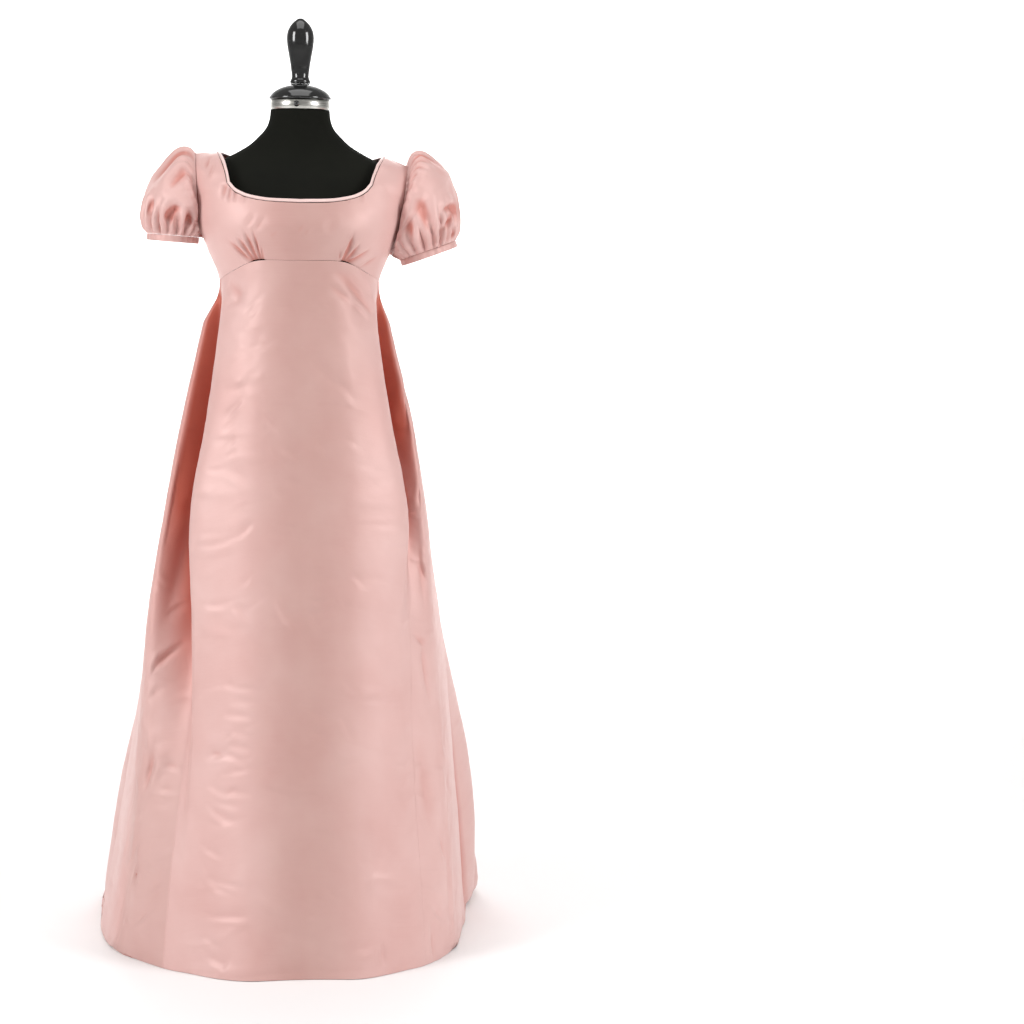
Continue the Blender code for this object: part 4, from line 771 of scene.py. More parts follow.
def path_lengths(points):
    """The length of the path up to each of its points."""
    return np.concatenate([[0], np.cumsum(np.linalg.norm(np.diff(points, axis=0), axis=1))])


def at_lengths(points, wanted):
    lengths = path_lengths(points)
    return np.column_stack([np.interp(wanted, lengths, points[:, k]) for k in range(3)])


def spread(points, count):
    """The path with this many points, evenly far apart."""
    return at_lengths(points, np.linspace(0, path_lengths(points)[-1], count))


def smooth_line(points, count):
    """A smooth line through the points, as this many points."""
    points = np.array(points)
    knots = path_lengths(points)
    return through(knots, points)(np.linspace(0, knots[-1], count))


def grid_normals(grid, closed=False):
    """Outward normals of a grid whose rows go up and whose columns go round anticlockwise from above."""
    if closed:
        padded = np.concatenate([grid[:, -1:], grid, grid[:, :1]], axis=1)
        along = (padded[:, 2:] - padded[:, :-2]) / 2
    else:
        along = np.gradient(grid, axis=1)
    up = np.gradient(grid, axis=0)
    return unit(np.cross(along, up))


def grid_faces(rows, columns, closed=False):
    faces = []
    for low in range(0, (rows - 1) * columns, columns):
        high = low + columns
        for c in range(columns if closed else columns - 1):
            d = (c + 1) % columns
            faces.append((low + c, low + d, high + d, high + c))
    return faces


def capped_faces(rings, sides):
    """Faces of a tube of rings, with one face over each end."""
    last = (rings - 1) * sides
    caps = [tuple(reversed(range(sides))), tuple(range(last, last + sides))]
    return grid_faces(rings, sides, closed=True) + caps


def rim_edges(faces):
    """The edges with one face, in the direction in which that face runs."""
    edges = [(f[i], f[(i + 1) % len(f)]) for f in faces for i in range(len(f))]
    known = set(edges)
    return [(a, b) for a, b in edges if (b, a) not in known]


# ---- Bodice shape ----
torso_at = through_rows(TORSO)
waist_at = through(*zip(*WAIST))
chest_at = through(*zip(*CHEST))


def torso_point(angle, height):
    """A point of the bodice's outside, at an angle from the centre front, positive towards +X."""
    half_width, front, back = np.moveaxis(torso_at(height), -1, 0)
    turn = np.radians(angle)
    s, c = np.sin(turn), np.cos(turn)
    power = 2 / TORSO_SQUARENESS
    x = half_width * np.sign(s) * np.abs(s) ** power
    depth = np.where(c > 0, front, back)
    y = -depth * np.sign(c) * np.abs(c) ** power
    return np.stack([x, y, np.broadcast_to(height, x.shape)], axis=-1)


def torso_half_width(y, height):
    """How far out the bodice's side is at a depth y."""
    half_width, front, back = np.moveaxis(torso_at(height), -1, 0)
    share = np.clip(np.abs(y) / np.where(y < 0, front, back), 0, 1)
    return half_width * (1 - share**TORSO_SQUARENESS) ** (1 / TORSO_SQUARENESS)


def shoulder(side):
    """The shoulder seam's two ends, at the neck and at the sleeve."""
    row = next(r for r in SHOULDERS if r[0] == side)
    neck = np.array((side * row[1], 0.0, row[2]))
    tip = np.array((side * row[3], TIP_Y, row[4]))
    return neck, tip


def strap_edge(start, end, between):
    """A strap's edge, from its base to the shoulder seam, as a function of 0 to 1."""
    points = [start]
    for share, y, below in between:
        straight = start + (end - start) * share
        points.append(np.array((straight[0], y, end[2] - below)))
    points.append(end)
    points = np.array(points)
    knots = path_lengths(points)
    return through(knots / knots[-1], points)


def strap_edges(side, back):
    neck, tip = shoulder(side)
    if back:
        at_neck, at_arm = BACK_NECK, BACK_ARMHOLE
        neck_rows, arm_rows = BACK_NECK_EDGE, BACK_ARM_EDGE
        lift = np.array((0, HALF_GAP, 0))
    else:
        at_neck, at_arm = NECK_CORNER, FRONT_ARMHOLE
        neck_rows, arm_rows = FRONT_NECK_EDGE, FRONT_ARM_EDGE
        lift = np.array((0, -HALF_GAP, 0))
    base_neck = torso_point(side * at_neck, chest_at(at_neck))
    base_arm = torso_point(side * at_arm, chest_at(at_arm))
    return (
        strap_edge(base_neck, neck + lift, neck_rows),
        strap_edge(base_arm, tip + lift, arm_rows),
    )


def strap_grid(side, back, base, rows):
    """Rows of points from the strap's base to the shoulder seam, each running as the base runs."""
    neck_edge, arm_edge = strap_edges(side, back)
    first, last = (neck_edge, arm_edge)
    if np.linalg.norm(base[0] - neck_edge(0.0)) > np.linalg.norm(base[-1] - neck_edge(0.0)):
        first, last = arm_edge, neck_edge
    across = np.linspace(0, 1, len(base))[:, None]
    top = first(1.0) * (1 - across) + last(1.0) * across
    grid = []
    for v in np.linspace(0, 1, rows):
        left, right = first(v), last(v)
        ruled = base * (1 - v) + top * v
        sides = left * (1 - across) + right * across
        corners = (
            (base[0] * (1 - across) + base[-1] * across) * (1 - v)
            + (top[0] * (1 - across) + top[-1] * across) * v
        )
        grid.append(ruled + sides - corners)
    return np.array(grid)


def neckline(steps):
    """The neck edge from the centre back round the gown's left side, the front and its right side."""
    parts = []
    for side in (+1, -1):
        back_edge, _ = strap_edges(side, True)
        front_edge, _ = strap_edges(side, False)
        shares = np.linspace(0, 1, steps)
        back_angles = np.linspace(CENTRE_BACK, BACK_NECK, max(steps // 3, 2))
        front_angles = np.linspace(NECK_CORNER, 0, steps)
        parts.append(
            np.concatenate([
                torso_point(side * back_angles, chest_at(back_angles))[:-1],
                back_edge(shares)[:-1],
                front_edge(shares[::-1]),
                torso_point(side * front_angles, chest_at(front_angles))[1:],
            ])
        )
    left, right = parts
    return np.concatenate([left, right[::-1][1:]])


def outward(places, counts, heights, lean):
    """Directions out of the cloth at places of an edge, level low down and turned up high up."""
    level = unit(places * np.array(counts))
    rise = smoothstep(*heights, places[:, 2])[:, None]
    loss, gain = lean
    return unit(level * (1 - loss * rise) + UP * rise * gain)


def neck_directions(path):
    """Along the neck edge: the way out of the cloth, and the way past the edge."""
    along = unit(np.gradient(path, axis=0))
    past = unit(np.cross(along, outward(path, *NECK_OUT)))
    return unit(np.cross(past, along)), past


# ---- Skirt shape ----
section_at = {side: through_rows(rows[::-1]) for side, rows in SECTIONS.items()}
waist_angle_at = through(GIRTH, WAIST_ANGLE)
train_at = through_rows(TRAIN)


def section_points(side, heights):
    """The section's points at each height, from the centre front to the centre back, with one more
    past each end that mirrors its neighbour."""
    row = dict(zip(SECTION_COLUMNS[1:], np.moveaxis(section_at[side](heights), -1, 0)))
    zero = np.zeros_like(heights)
    share_x, share_y = PANEL_MIDDLE
    points = [
        (zero, row["front_y"]),
        (row["panel_x"] * share_x, row["front_y"] * (1 - share_y) + row["panel_y"] * share_y),
        (row["panel_x"], row["panel_y"]),
        (row["valley_x"], row["valley_y"]),
        (row["outer_x"], row["outer_y"]),
        (row["side_x"], row["side_y"]),
        (row["back_x"], row["back_y"]),
        (zero, row["centre_y"]),
    ]
    points = [np.stack(p, axis=-1) for p in points]
    mirror = np.array((-1.0, 1.0))
    points = [points[1] * mirror, *points, points[-2] * mirror]
    knots = (-GIRTH[1], *GIRTH, 2 * GIRTH[-1] - GIRTH[-2])
    return through(knots, np.array(points))


def train_edge(side, girth, contact):
    """Where the cloth's edge lies for a girth: past the floor's contact, from the side back."""
    first = TRAIN[0][0]
    share = smoothstep(first - TRAIN_GROWS, first + TRAIN_GROWS, girth)
    right_x, left_x, edge_y = train_at(max(girth, first))
    edge = np.array((left_x if side > 0 else right_x, edge_y))
    return contact * (1 - share) + edge * share


def meridian(side, girth):
    """The skirt's line of one girth, from the waist seam to the hem or the train's edge, and the
    length of it that falls."""
    angle = float(waist_angle_at(girth))
    top = torso_point(side * angle, float(waist_at(angle)))
    top[2] -= HALF_GAP
    heights = np.linspace(top[2], 0.0, PATH_SAMPLES)
    level = section_points(side, heights)(girth)
    hold = 1 - smoothstep(0, WAIST_HOLD, top[2] - heights)[:, None]
    level = level * (1 - hold) + np.array((abs(top[0]), top[1])) * hold
    path = np.column_stack([level, heights])
    fall_length = path_lengths(path)[-1]
    contact = level[-1]
    edge = train_edge(side, girth, contact)
    lying = np.linalg.norm(edge - contact)
    if lying > SHORT:
        path = np.concatenate([path, [(*edge, 0.0)]])
    path = spread(path, PATH_SAMPLES * 3)
    if lying > SHORT:
        path = ease_bend(path, contact, min(lying, FLOOR_BEND))
    path[:, 0] *= side
    return path, fall_length


def ease_bend(path, contact, reach):
    """Rounds the path where it meets the floor, over a reach to each side of the contact."""
    step = np.linalg.norm(path[1] - path[0])
    half = max(int(reach / step / 2), 1)
    padded = np.concatenate([np.repeat(path[:1], half, 0), path, np.repeat(path[-1:], half, 0)])
    kernel = np.hanning(2 * half + 3)[1:-1]
    kernel /= kernel.sum()
    soft = np.column_stack([np.convolve(padded[:, k], kernel, "valid") for k in range(3)])
    away = np.linalg.norm(path - np.array((*contact, 0.0)), axis=1)
    weight = (1 - smoothstep(reach, reach * 2, away))[:, None]
    return path * (1 - weight) + soft * weight


def row_lengths(girth, rows, fall_length, whole_length):
    """The length below the waist seam of each row. Where there is a train, one row follows the line
    where the cloth meets the floor."""
    falling = round(rows * FALL_SHARE)
    even = np.linspace(0, whole_length, rows)
    parted = np.concatenate([
        np.linspace(0, fall_length, falling),
        np.linspace(fall_length, whole_length, rows - falling + 1)[1:],
    ])
    share = smoothstep(*TRAIN_START, girth)
    return even * (1 - share) + parted * share


def round_girth(side, girth):
    """Girth counted on past the centre back, so that the two sides meet at 1."""
    return girth if side > 0 else 2 - girth


def fold_height(side, girth, length):
    """How far the folds move the cloth out at a girth, for lengths below the waist seam."""
    total = np.zeros_like(length)
    for on, at, width, depth, start, full, end in FOLDS:
        apart = round_girth(side, girth) - round_girth(on, at)
        across = math.exp(-((apart / width) ** 2))
        held = FOLD_AT_WAIST if start == 0 else 0.0
        grow = held + (1 - held) * smoothstep(start, full, length)
        total -= depth * across * grow * (1 - smoothstep(full, end, length))
    return total


# ---- Sleeve shape ----
sleeve_at = {side: through_rows(rows) for side, rows in SLEEVES.items()}


def armhole(side, count):
    """The armhole's edge, from the shoulder tip down the front, under the arm and up the back."""
    _, front_arm = strap_edges(side, False)
    _, back_arm = strap_edges(side, True)
    angles = np.linspace(FRONT_ARMHOLE, BACK_ARMHOLE, 30)
    shares = np.linspace(0, 1, 20)
    loop = np.concatenate([
        front_arm(shares[::-1])[:-1],
        torso_point(side * angles, chest_at(angles)),
        back_arm(shares)[1:],
    ])
    return spread(loop, count + 1)[:-1]


def cuff_frame(side):
    """The cuff's centre, its way down and its way up across the opening."""
    x, y, z, turn, _, _ = sleeve_at[side](1.0)
    tilt = math.radians(turn)
    up = np.array((side * math.sin(tilt), 0, math.cos(tilt)))
    down = np.array((side * math.cos(tilt), 0, -math.sin(tilt)))
    return np.array((side * x, y, z)), down, up


def oval(turns, up, high, deep):
    """An oval about the origin, from its top towards the front, by its half sizes."""
    return (high * np.cos(turns))[:, None] * up + (deep * np.sin(turns))[:, None] * FORWARD


def square_to(normals, way):
    """The normals without what they have along a way, so that a rim lies square to it."""
    return unit(normals - (normals * way).sum(axis=-1, keepdims=True) * way)


# ---- Relief ----
def crease_heights(across, down, rows, narrowest=0.0):
    """How far the creases move the cloth out at places of a panel, none narrower than its mesh shows."""
    total = np.zeros_like(across)
    lip_height, lip_off = CREASE_LIP
    for a0, d0, a1, d1, width, depth, start, bow in rows:
        width = max(width, narrowest)
        length = math.hypot(a1 - a0, d1 - d0)
        way_a, way_d = (a1 - a0) / length, (d1 - d0) / length
        along = ((across - a0) * way_a + (down - d0) * way_d) / length
        share = np.clip(along, 0, 1)
        off = (down - d0) * way_a - (across - a0) * way_d - bow * 4 * share * (1 - share)
        past = (along - share) * length
        grown = start + (1 - start) * smoothstep(0, CREASE_GROWN, share)
        reach = grown * (1 - smoothstep(CREASE_FADES, 1, share)) * np.exp(-((past / width) ** 2))
        near = rounded(off, CREASE_ROUND * width)
        lip = np.exp(-(((off - lip_off * width) / width) ** 2))
        total -= depth * reach * (np.exp(-near / width) - lip_height * lip)
    return total


def soft_noise(across, down, height, size_across, size_down, seed):
    """Smooth noise up to a height in and out, with bumps of a size each way."""
    lattice = np.random.default_rng(seed).uniform(-1, 1, (64, 64))
    u, v = across / size_across + 20.3, down / size_down + 20.7
    i, j = np.floor(u).astype(int), np.floor(v).astype(int)
    s, t = u - i, v - j
    s, t = s * s * (3 - 2 * s), t * t * (3 - 2 * t)
    i, j, i1, j1 = i % 64, j % 64, (i + 1) % 64, (j + 1) % 64
    low = lattice[i, j] * (1 - s) + lattice[i1, j] * s
    high = lattice[i, j1] * (1 - s) + lattice[i1, j1] * s
    return height * (low * (1 - t) + high * t)


def crisp_noise(across, down, height, size, seed):
    """Noise with sharp low ridges, as taffeta has where it has been folded and let go."""
    bent = across + soft_noise(across, down, 0.35 * size, size * 1.4, size * 1.4, seed + 1)
    return height * (0.5 - np.abs(soft_noise(bent, down, 1.0, size * 1.5, size, seed)))


def gather_wave(turns, count, seed):
    """Gathers round a ring, sharp in their troughs and uneven in their widths, from -1 to 1."""
    lag = 1.1 * np.sin(2 * turns + seed) + 0.8 * np.sin(3 * turns + 2.1 * seed) + 0.5 * np.sin(5 * turns)
    size = 0.75 + 0.25 * np.sin(3 * turns + 1.7 * seed)
    return size * (2 * np.abs(np.sin(count * turns / 2 + lag / 2)) - 1)


def painted_crease_shade(relief, full, taken, most):
    """How much of the folds' deep colour, painted as shade, the cloth has where its relief goes in, from 0
    to 1.
    """
    return np.clip(-relief / full - taken, 0, most)


# ---- Meshes ----
def add_object(name, data):
    made = bpy.data.objects.new(name, data)
    bpy.context.scene.collection.objects.link(made)
    return made


def add_piece(name, points, faces, look, replaced, cloth=None, fold=None, painted_shade=0.0):
    """A smooth mesh piece that stands for CAD nodes. cloth is each point's place in the flat cloth, in
    metres, fold says from 0 to 1 how deep in a fold it is for the painted shade, and the last argument how
    much greyer painted shade makes the cloth."""
    mesh = bpy.data.meshes.new(name)
    mesh.from_pydata(np.asarray(points).tolist(), [], [list(map(int, f)) for f in faces])
    mesh.update()
    mesh.shade_smooth()
    mesh.set_sharp_from_angle(angle=SHARP_EDGE)
    mesh.materials.append(look)
    if cloth is not None:
        flat = mesh.attributes.new("cloth", "FLOAT_VECTOR", "POINT")
        flat.data.foreach_set("vector", np.column_stack([cloth, np.zeros(len(cloth))]).ravel())
    if fold is not None:
        deep = mesh.attributes.new("fold", "FLOAT", "POINT")
        deep.data.foreach_set("value", np.clip(fold, 0, 1))
        grey = mesh.attributes.new("painted_shade", "FLOAT", "POINT")
        grey.data.foreach_set("value", np.ones(len(fold)) * painted_shade)
    piece = add_object(name, mesh)
    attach(piece, "root")
    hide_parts(*replaced)
    return piece


def add_shell(name, points, normals, faces, look, cloth, fold, painted_shade=0.0):
    """A thin closed wall of cloth for a CAD node, its inner side painted darker than its outer one, as
    shade.
    """
    inner = points - normals * SHELL
    lift = np.maximum(-inner[:, 2:], 0.0) * UP
    inner, outer = inner + lift, points + lift
    count = len(points)
    faces = [tuple(map(int, f)) for f in faces]
    back = [tuple(count + i for i in reversed(f)) for f in faces]
    rim = [(b, a, count + a, count + b) for a, b in rim_edges(faces)]
    both = np.concatenate([outer, inner])
    deep = np.concatenate([fold, np.maximum(fold, INSIDE_SHADE)])
    return add_piece(name + "_cloth", both, faces + back + rim, look, [name],
                     np.concatenate([cloth, cloth]), deep, np.tile(np.ones(count) * painted_shade, 2))


def steps_between(*stretches):
    """Values of a run of stretches (start, end, steps), each evenly parted."""
    found = [stretches[0][0]]
    for start, end, steps in stretches:
        found.extend(start + (end - start) * (k + 1) / steps for k in range(steps))
    return np.array(found)


# ---- Skirt ----
def skirt_relief(girths, across, down, from_seam, from_back):
    """How far out the creases and the soft unevenness move the skirt."""
    out = np.zeros_like(across)
    front = np.abs(girths) <= SEAM_GIRTH + SAME_GIRTH
    edge = smoothstep(SEAM_GIRTH, SEAM_GIRTH - RIDGE_FADE, np.abs(girths))[None, :]
    for top, foot, width, height, start, full in FRONT_RIDGES:
        off = across - top - (foot - top) * down / SKIRT_LENGTH
        near = rounded(off, RIDGE_ROUND * width)
        out += height * np.exp(-near / width) * smoothstep(start, full, down) * edge
    out[:, front] += crease_heights(across[:, front], down[:, front], FRONT_CREASES, SKIRT_NARROWEST)
    for side, rows in ((-1, RIGHT_SIDE_CREASES), (1, LEFT_SIDE_CREASES)):
        on = (np.sign(girths) == side) & ~front
        out[:, on] += crease_heights(from_seam[:, on], down[:, on], rows, SKIRT_NARROWEST)
    out[:, ~front] += crease_heights(from_back[:, ~front], down[:, ~front], BACK_CREASES)
    free = smoothstep(0.0, WAIST_FREE, down)
    slanted = across * CRUMPLE_SLANT[0] + down * CRUMPLE_SLANT[1]
    fine_slanted = across * FINE_SLANT[0] + down * FINE_SLANT[1]
    out += free * soft_noise(across, down, *SKIRT_SOFT)
    out += free * crisp_noise(slanted, down, *SKIRT_CRUMPLE)
    out += free * crisp_noise(across, fine_slanted, *SKIRT_FINE_CRUMPLE)
    return out


def side_of(girth):
    return -1 if girth < 0 else 1


def build_skirt(look):
    front = steps_between(*SKIRT_FRONT_STRETCHES)
    back = steps_between(*SKIRT_BACK_STRETCHES)
    girths = np.concatenate([-back[::-1], -front[::-1][1:], front[1:], back[1:]])
    columns, lengths = [], []
    for girth in girths:
        path, fall_length = meridian(side_of(girth), abs(girth))
        wanted = row_lengths(abs(girth), SKIRT_ROWS, fall_length, path_lengths(path)[-1])
        columns.append(at_lengths(path, wanted)[::-1])
        lengths.append(wanted[::-1])
    grid, down = np.stack(columns, axis=1), np.stack(lengths, axis=1)
    strides = np.linalg.norm(np.diff(grid, axis=1), axis=2)
    run = np.concatenate([np.zeros((SKIRT_ROWS, 1)), np.cumsum(strides, axis=1)], axis=1)
    right, middle, left = (int(np.argmin(np.abs(girths - at))) for at in (-SEAM_GIRTH, 0, SEAM_GIRTH))
    across = run - run[:, [middle]]
    from_seam = np.where(girths < 0, run[:, [right]] - run, run - run[:, [left]])
    from_back = np.where(girths < 0, -run, run[:, -1:] - run)
    normals = grid_normals(grid)
    folds = [fold_height(side_of(g), abs(g), below) for g, below in zip(girths, down.T)]
    relief = np.stack(folds, axis=1) + skirt_relief(girths, across, down, from_seam, from_back)
    grid = grid + normals * relief[:, :, None]
    grid[:, :, 2] = np.maximum(grid[:, :, 2], 0.0)
    normals = grid_normals(grid)
    normals[:, (0, -1), 0] = 0.0
    normals = unit(normals)
    # Painted shade: the deep colour in folds and the side valleys, and the greyer middle of the front and
    # foot of the right side.
    shade = skirt_shade(girths, down, relief)
    painted_shade = np.maximum(centre_painted_shade(across), side_painted_shade(girths, down, from_seam))
    cuts = {
        "skirt_back_right": (0, right),
        "skirt_front": (right, left),
        "skirt_back_left": (left, len(girths) - 1),
    }
    for name, (first, last) in cuts.items():
        part = slice(first, last + 1)
        panel = grid[:, part].copy()
        panel[:, 0] += unit(panel[:, 1] - panel[:, 0]) * HALF_GAP
        panel[:, -1] += unit(panel[:, -2] - panel[:, -1]) * HALF_GAP
        faces = grid_faces(SKIRT_ROWS, last + 1 - first)
        cloth = np.stack([across[:, part], down[:, part]], axis=-1).reshape(-1, 2)
        piece = add_shell(name, panel.reshape(-1, 3), normals[:, part].reshape(-1, 3), faces, look,
                          cloth, shade[:, part].ravel(), painted_shade[:, part].ravel())


def centre_painted_shade(across):
    """The middle of the front, greyer with painted shade."""
    return smoothstep(*PAINTED_SHADE_FROM, across) * (1 - smoothstep(*PAINTED_SHADE_TO, across))


def side_painted_shade(girths, down, from_seam):
    """The foot of the skirt's right side, greyer with painted shade."""
    on = (girths < -SEAM_GIRTH)[None, :]
    low = smoothstep(*SIDE_PAINTED_SHADE_DOWN, down)
    return SIDE_PAINTED_SHADE * on * low * (1 - smoothstep(*SIDE_PAINTED_SHADE_BACK, from_seam))


def skirt_shade(girths, down, relief):
    """How deep in a fold each place of the skirt is, from 0 to 1, for the painted shade; the side valleys
    take painted shade as well.
    """
    shade = painted_crease_shade(relief, *SKIRT_CREASE_SHADE)
    for side, at, width, full, end in VALLEY_SHADE:
        near = np.exp(-(((girths - side * at) / width) ** 2))
        shade = np.maximum(shade, near[None, :] * (1 - smoothstep(full, end, down)))
    return shade


# ---- Bodice ----
def bodice_points(angles, straps):
    """Points and faces of a bodice piece, the band up to the chest line and a strap on each base."""
    low = waist_at(np.abs(angles)) + HALF_GAP
    high = chest_at(np.abs(angles))
    shares = np.linspace(0, 1, BODICE_ROWS)[:, None]
    band = torso_point(angles[None, :], low * (1 - shares) + high * shares)
    points = list(band.reshape(-1, 3))
    faces = grid_faces(BODICE_ROWS, len(angles))
    top_row = (BODICE_ROWS - 1) * len(angles)
    shoulders = []
    for side, back, low_angle, high_angle in straps:
        on_strap = (angles >= low_angle - SAME_ANGLE) & (angles <= high_angle + SAME_ANGLE)
        found = np.flatnonzero(on_strap).tolist()
        grid = strap_grid(side, back, band[-1, found], STRAP_ROWS)
        ids = [[top_row + i for i in found]]
        for row in grid[1:]:
            ids.append(list(range(len(points), len(points) + len(row))))
            points.extend(row)
        for below, above in zip(ids, ids[1:]):
            for c in range(len(found) - 1):
                faces.append((below[c], below[c + 1], above[c + 1], above[c]))
        shoulders.extend(ids[-1])
    return np.array(points), np.array(faces), shoulders


def point_normals(points, faces):
    a, b, c, d = (points[faces[:, k]] for k in range(4))
    turned = np.cross(c - a, d - b)
    normals = np.zeros_like(points)
    for k in range(4):
        np.add.at(normals, faces[:, k], turned)
    return unit(normals)


def edge_weight(points, ids, reach):
    """0 at the given points and 1 from a reach away."""
    near = np.full(len(points), np.inf)
    for i in ids:
        near = np.minimum(near, np.linalg.norm(points - points[i], axis=1))
    return smoothstep(0, reach, near)


def add_bodice_piece(name, angles, straps, creases, look):
    points, faces, shoulders = bodice_points(angles, straps)
    normals = point_normals(points, faces)
    columns = len(angles)
    sides = [list(range(c, BODICE_ROWS * columns, columns)) for c in (0, columns - 1)]
    held = edge_weight(points, (sides[0] + sides[1])[::3] + shoulders[::3], BODICE_HELD)
    x, z = points[:, 0], points[:, 2]
    relief = crease_heights(x, z, creases)
    relief += soft_noise(x, z, *BODICE_SOFT)
    relief += crisp_noise(x, z, *BODICE_CRUMPLE)
    relief = np.clip(relief * held, *BODICE_RELIEF)
    points = points + normals * relief[:, None]
    normals = point_normals(points, faces)
    for ids, column, inward in ((sides[0], 0, 1), (sides[1], -1, -1)):
        along_x = abs(angles[column]) == SIDE_SEAM
        for i in ids:
            points[i] += unit(points[i + inward] - points[i]) * HALF_GAP
            normals[i, 1 if along_x else 0] = 0.0
    normals[shoulders, 1] = 0.0
    girth = np.degrees(np.arctan2(points[:, 0], -points[:, 1])) * BODICE_ARC
    cloth = np.column_stack([girth, points[:, 2]])
    # Painted shade: the deep colour in the creases, and the greyer middle of the front.
    piece = add_shell(name, points, unit(normals), faces, look, cloth,
                      painted_crease_shade(relief, *BODICE_CREASE_SHADE),
                      np.where(points[:, 1] < 0, centre_painted_shade(points[:, 0]), 0.0))


def build_bodice(look):
    half = steps_between(*BODICE_FRONT_STRETCHES)
    front = np.concatenate([-half[::-1], half[1:]])
    straps = ((-1, False, -FRONT_ARMHOLE, -NECK_CORNER), (+1, False, NECK_CORNER, FRONT_ARMHOLE))
    add_bodice_piece("bodice_front", front, straps, BODICE_FRONT_CREASES, look)
    back = steps_between(*BODICE_BACK_STRETCHES)
    for side, name in ((+1, "bodice_back_left"), (-1, "bodice_back_right")):
        angles = back if side > 0 else -back[::-1]
        ends = sorted((side * BACK_ARMHOLE, side * BACK_NECK))
        add_bodice_piece(name, angles, ((side, True, *ends),), BODICE_BACK_CREASES, look)


# ---- Sweeps: bindings and bands ----
def sweep(path, sideways, outwards, corners, closed=False):
    """Points and faces of a section carried along a path."""
    rings = [path + sideways * a + outwards * b for a, b in corners]
    count, sides = len(path), len(corners)
    points = np.stack(rings, axis=1).reshape(-1, 3)
    faces = []
    for r in range(count if closed else count - 1):
        n = (r + 1) % count
        for c in range(sides):
            d = (c + 1) % sides
            faces.append((r * sides + c, n * sides + c, n * sides + d, r * sides + d))
    if not closed:
        faces.append(tuple(range(sides)))
        faces.append(tuple((count - 1) * sides + c for c in reversed(range(sides))))
    return facing_out(points, faces), points


def section(sides, middle, half, powers=(1.0, 1.0)):
    """Corners of an oval section, squarer with a lower power."""
    corners = []
    for turn in turns_of(sides):
        place = []
        for k, wave in enumerate((math.cos(turn), math.sin(turn))):
            place.append(middle[k] + half[k] * math.copysign(abs(wave) ** powers[k], wave))
        corners.append(place)
    return corners


def swept_cloth(run, section_run):
    """Places in the flat cloth of a swept piece: along its path, and round its section."""
    return np.column_stack([np.repeat(run, len(section_run)), np.tile(section_run, len(run))])


def facing_out(points, faces):
    """The faces, turned over if they enclose a negative volume."""
    volume = 0.0
    for face in faces:
        for k in range(1, len(face) - 1):
            a, b, c = points[face[0]], points[face[k]], points[face[k + 1]]
            volume += float(np.dot(a, np.cross(b, c)))
    return [tuple(reversed(f)) for f in faces] if volume < 0 else faces


def build_binding(look):
    path = spread(neckline(60), BINDING_RINGS)
    out, past = neck_directions(path)
    if past[len(path) // 2, 2] < 0:
        past = -past
    along = unit(np.gradient(path, axis=0))
    path[0] += along[0] * HALF_GAP
    path[-1] -= along[-1] * HALF_GAP
    half = (BINDING_WIDTH / 2, BINDING_CLOTH / 2)
    corners = section(TUBE_SIDES, (SEAM_GAP * 3 + half[0], -CLOTH / 2), half)
    run = path_lengths(path)
    ripple = soft_noise(run, run * 0, *BINDING_SOFT)[:, None]
    faces, points = sweep(path + out * ripple, past, out, corners)
    cloth = swept_cloth(run, turns_of(TUBE_SIDES) * BINDING_ARC)
    piece = add_piece("neck_binding_cloth", points, faces, look, ["neck_binding"], cloth,
                      np.zeros(len(points)))


# ---- Sleeves ----
def sleeve_rings(side, along):
    """The sleeve's outside, from the armhole to the cuff. Columns go from the top to the front."""
    turns = turns_of(SLEEVE_SIDES)
    start = armhole(side, SLEEVE_SIDES)
    out = outward(start, *ARMHOLE_OUT)
    cuff_wave = gather_wave(turns, CUFF_GATHERS, CUFF_SEED + side)
    top_wave = gather_wave(turns, ARMHOLE_GATHERS, ARMHOLE_SEED + side)
    rings = []
    for share in along:
        x, y, z, turn, across, deep = sleeve_at[side](share)
        tilt = math.radians(turn)
        up = np.array((math.sin(tilt), 0, math.cos(tilt)))
        ruffle = CUFF_GATHER_DEPTH * smoothstep(*CUFF_GATHER_GROWS, share)
        ruffle *= 1 - CUFF_GATHER_LOSS * smoothstep(*CUFF_GATHER_ENDS, share)
        pleat = ARMHOLE_GATHER_DEPTH * smoothstep(*ARMHOLE_GATHER_GROWS, share)
        pleat *= 1 - smoothstep(*ARMHOLE_GATHER_ENDS, share)
        swell = 1 + (ruffle * cuff_wave + pleat * top_wave) / across
        ring = np.array((x, y, z)) + oval(turns, up, across * swell, deep * swell)
        ring[:, 0] *= side
        leave = smoothstep(0.0, SLEEVE_LEAVE, share)
        near = start + out * (SEAM_GAP * 2 + SLEEVE_OFF * share)
        rings.append(near * (1 - leave) + ring * leave)
    return np.array(rings), out


def clear_of_bodice(grid, side, along):
    """Pushes the sleeve's rings out of the bodice's side."""
    for ring, share in zip(grid[1:], along[1:]):
        inside = torso_half_width(ring[:, 1], ring[:, 2]) + SLEEVE_CLEAR * min(1, share * CLEAR_SHARE)
        ring[:, 0] = side * np.maximum(np.abs(ring[:, 0]), inside)
    return grid


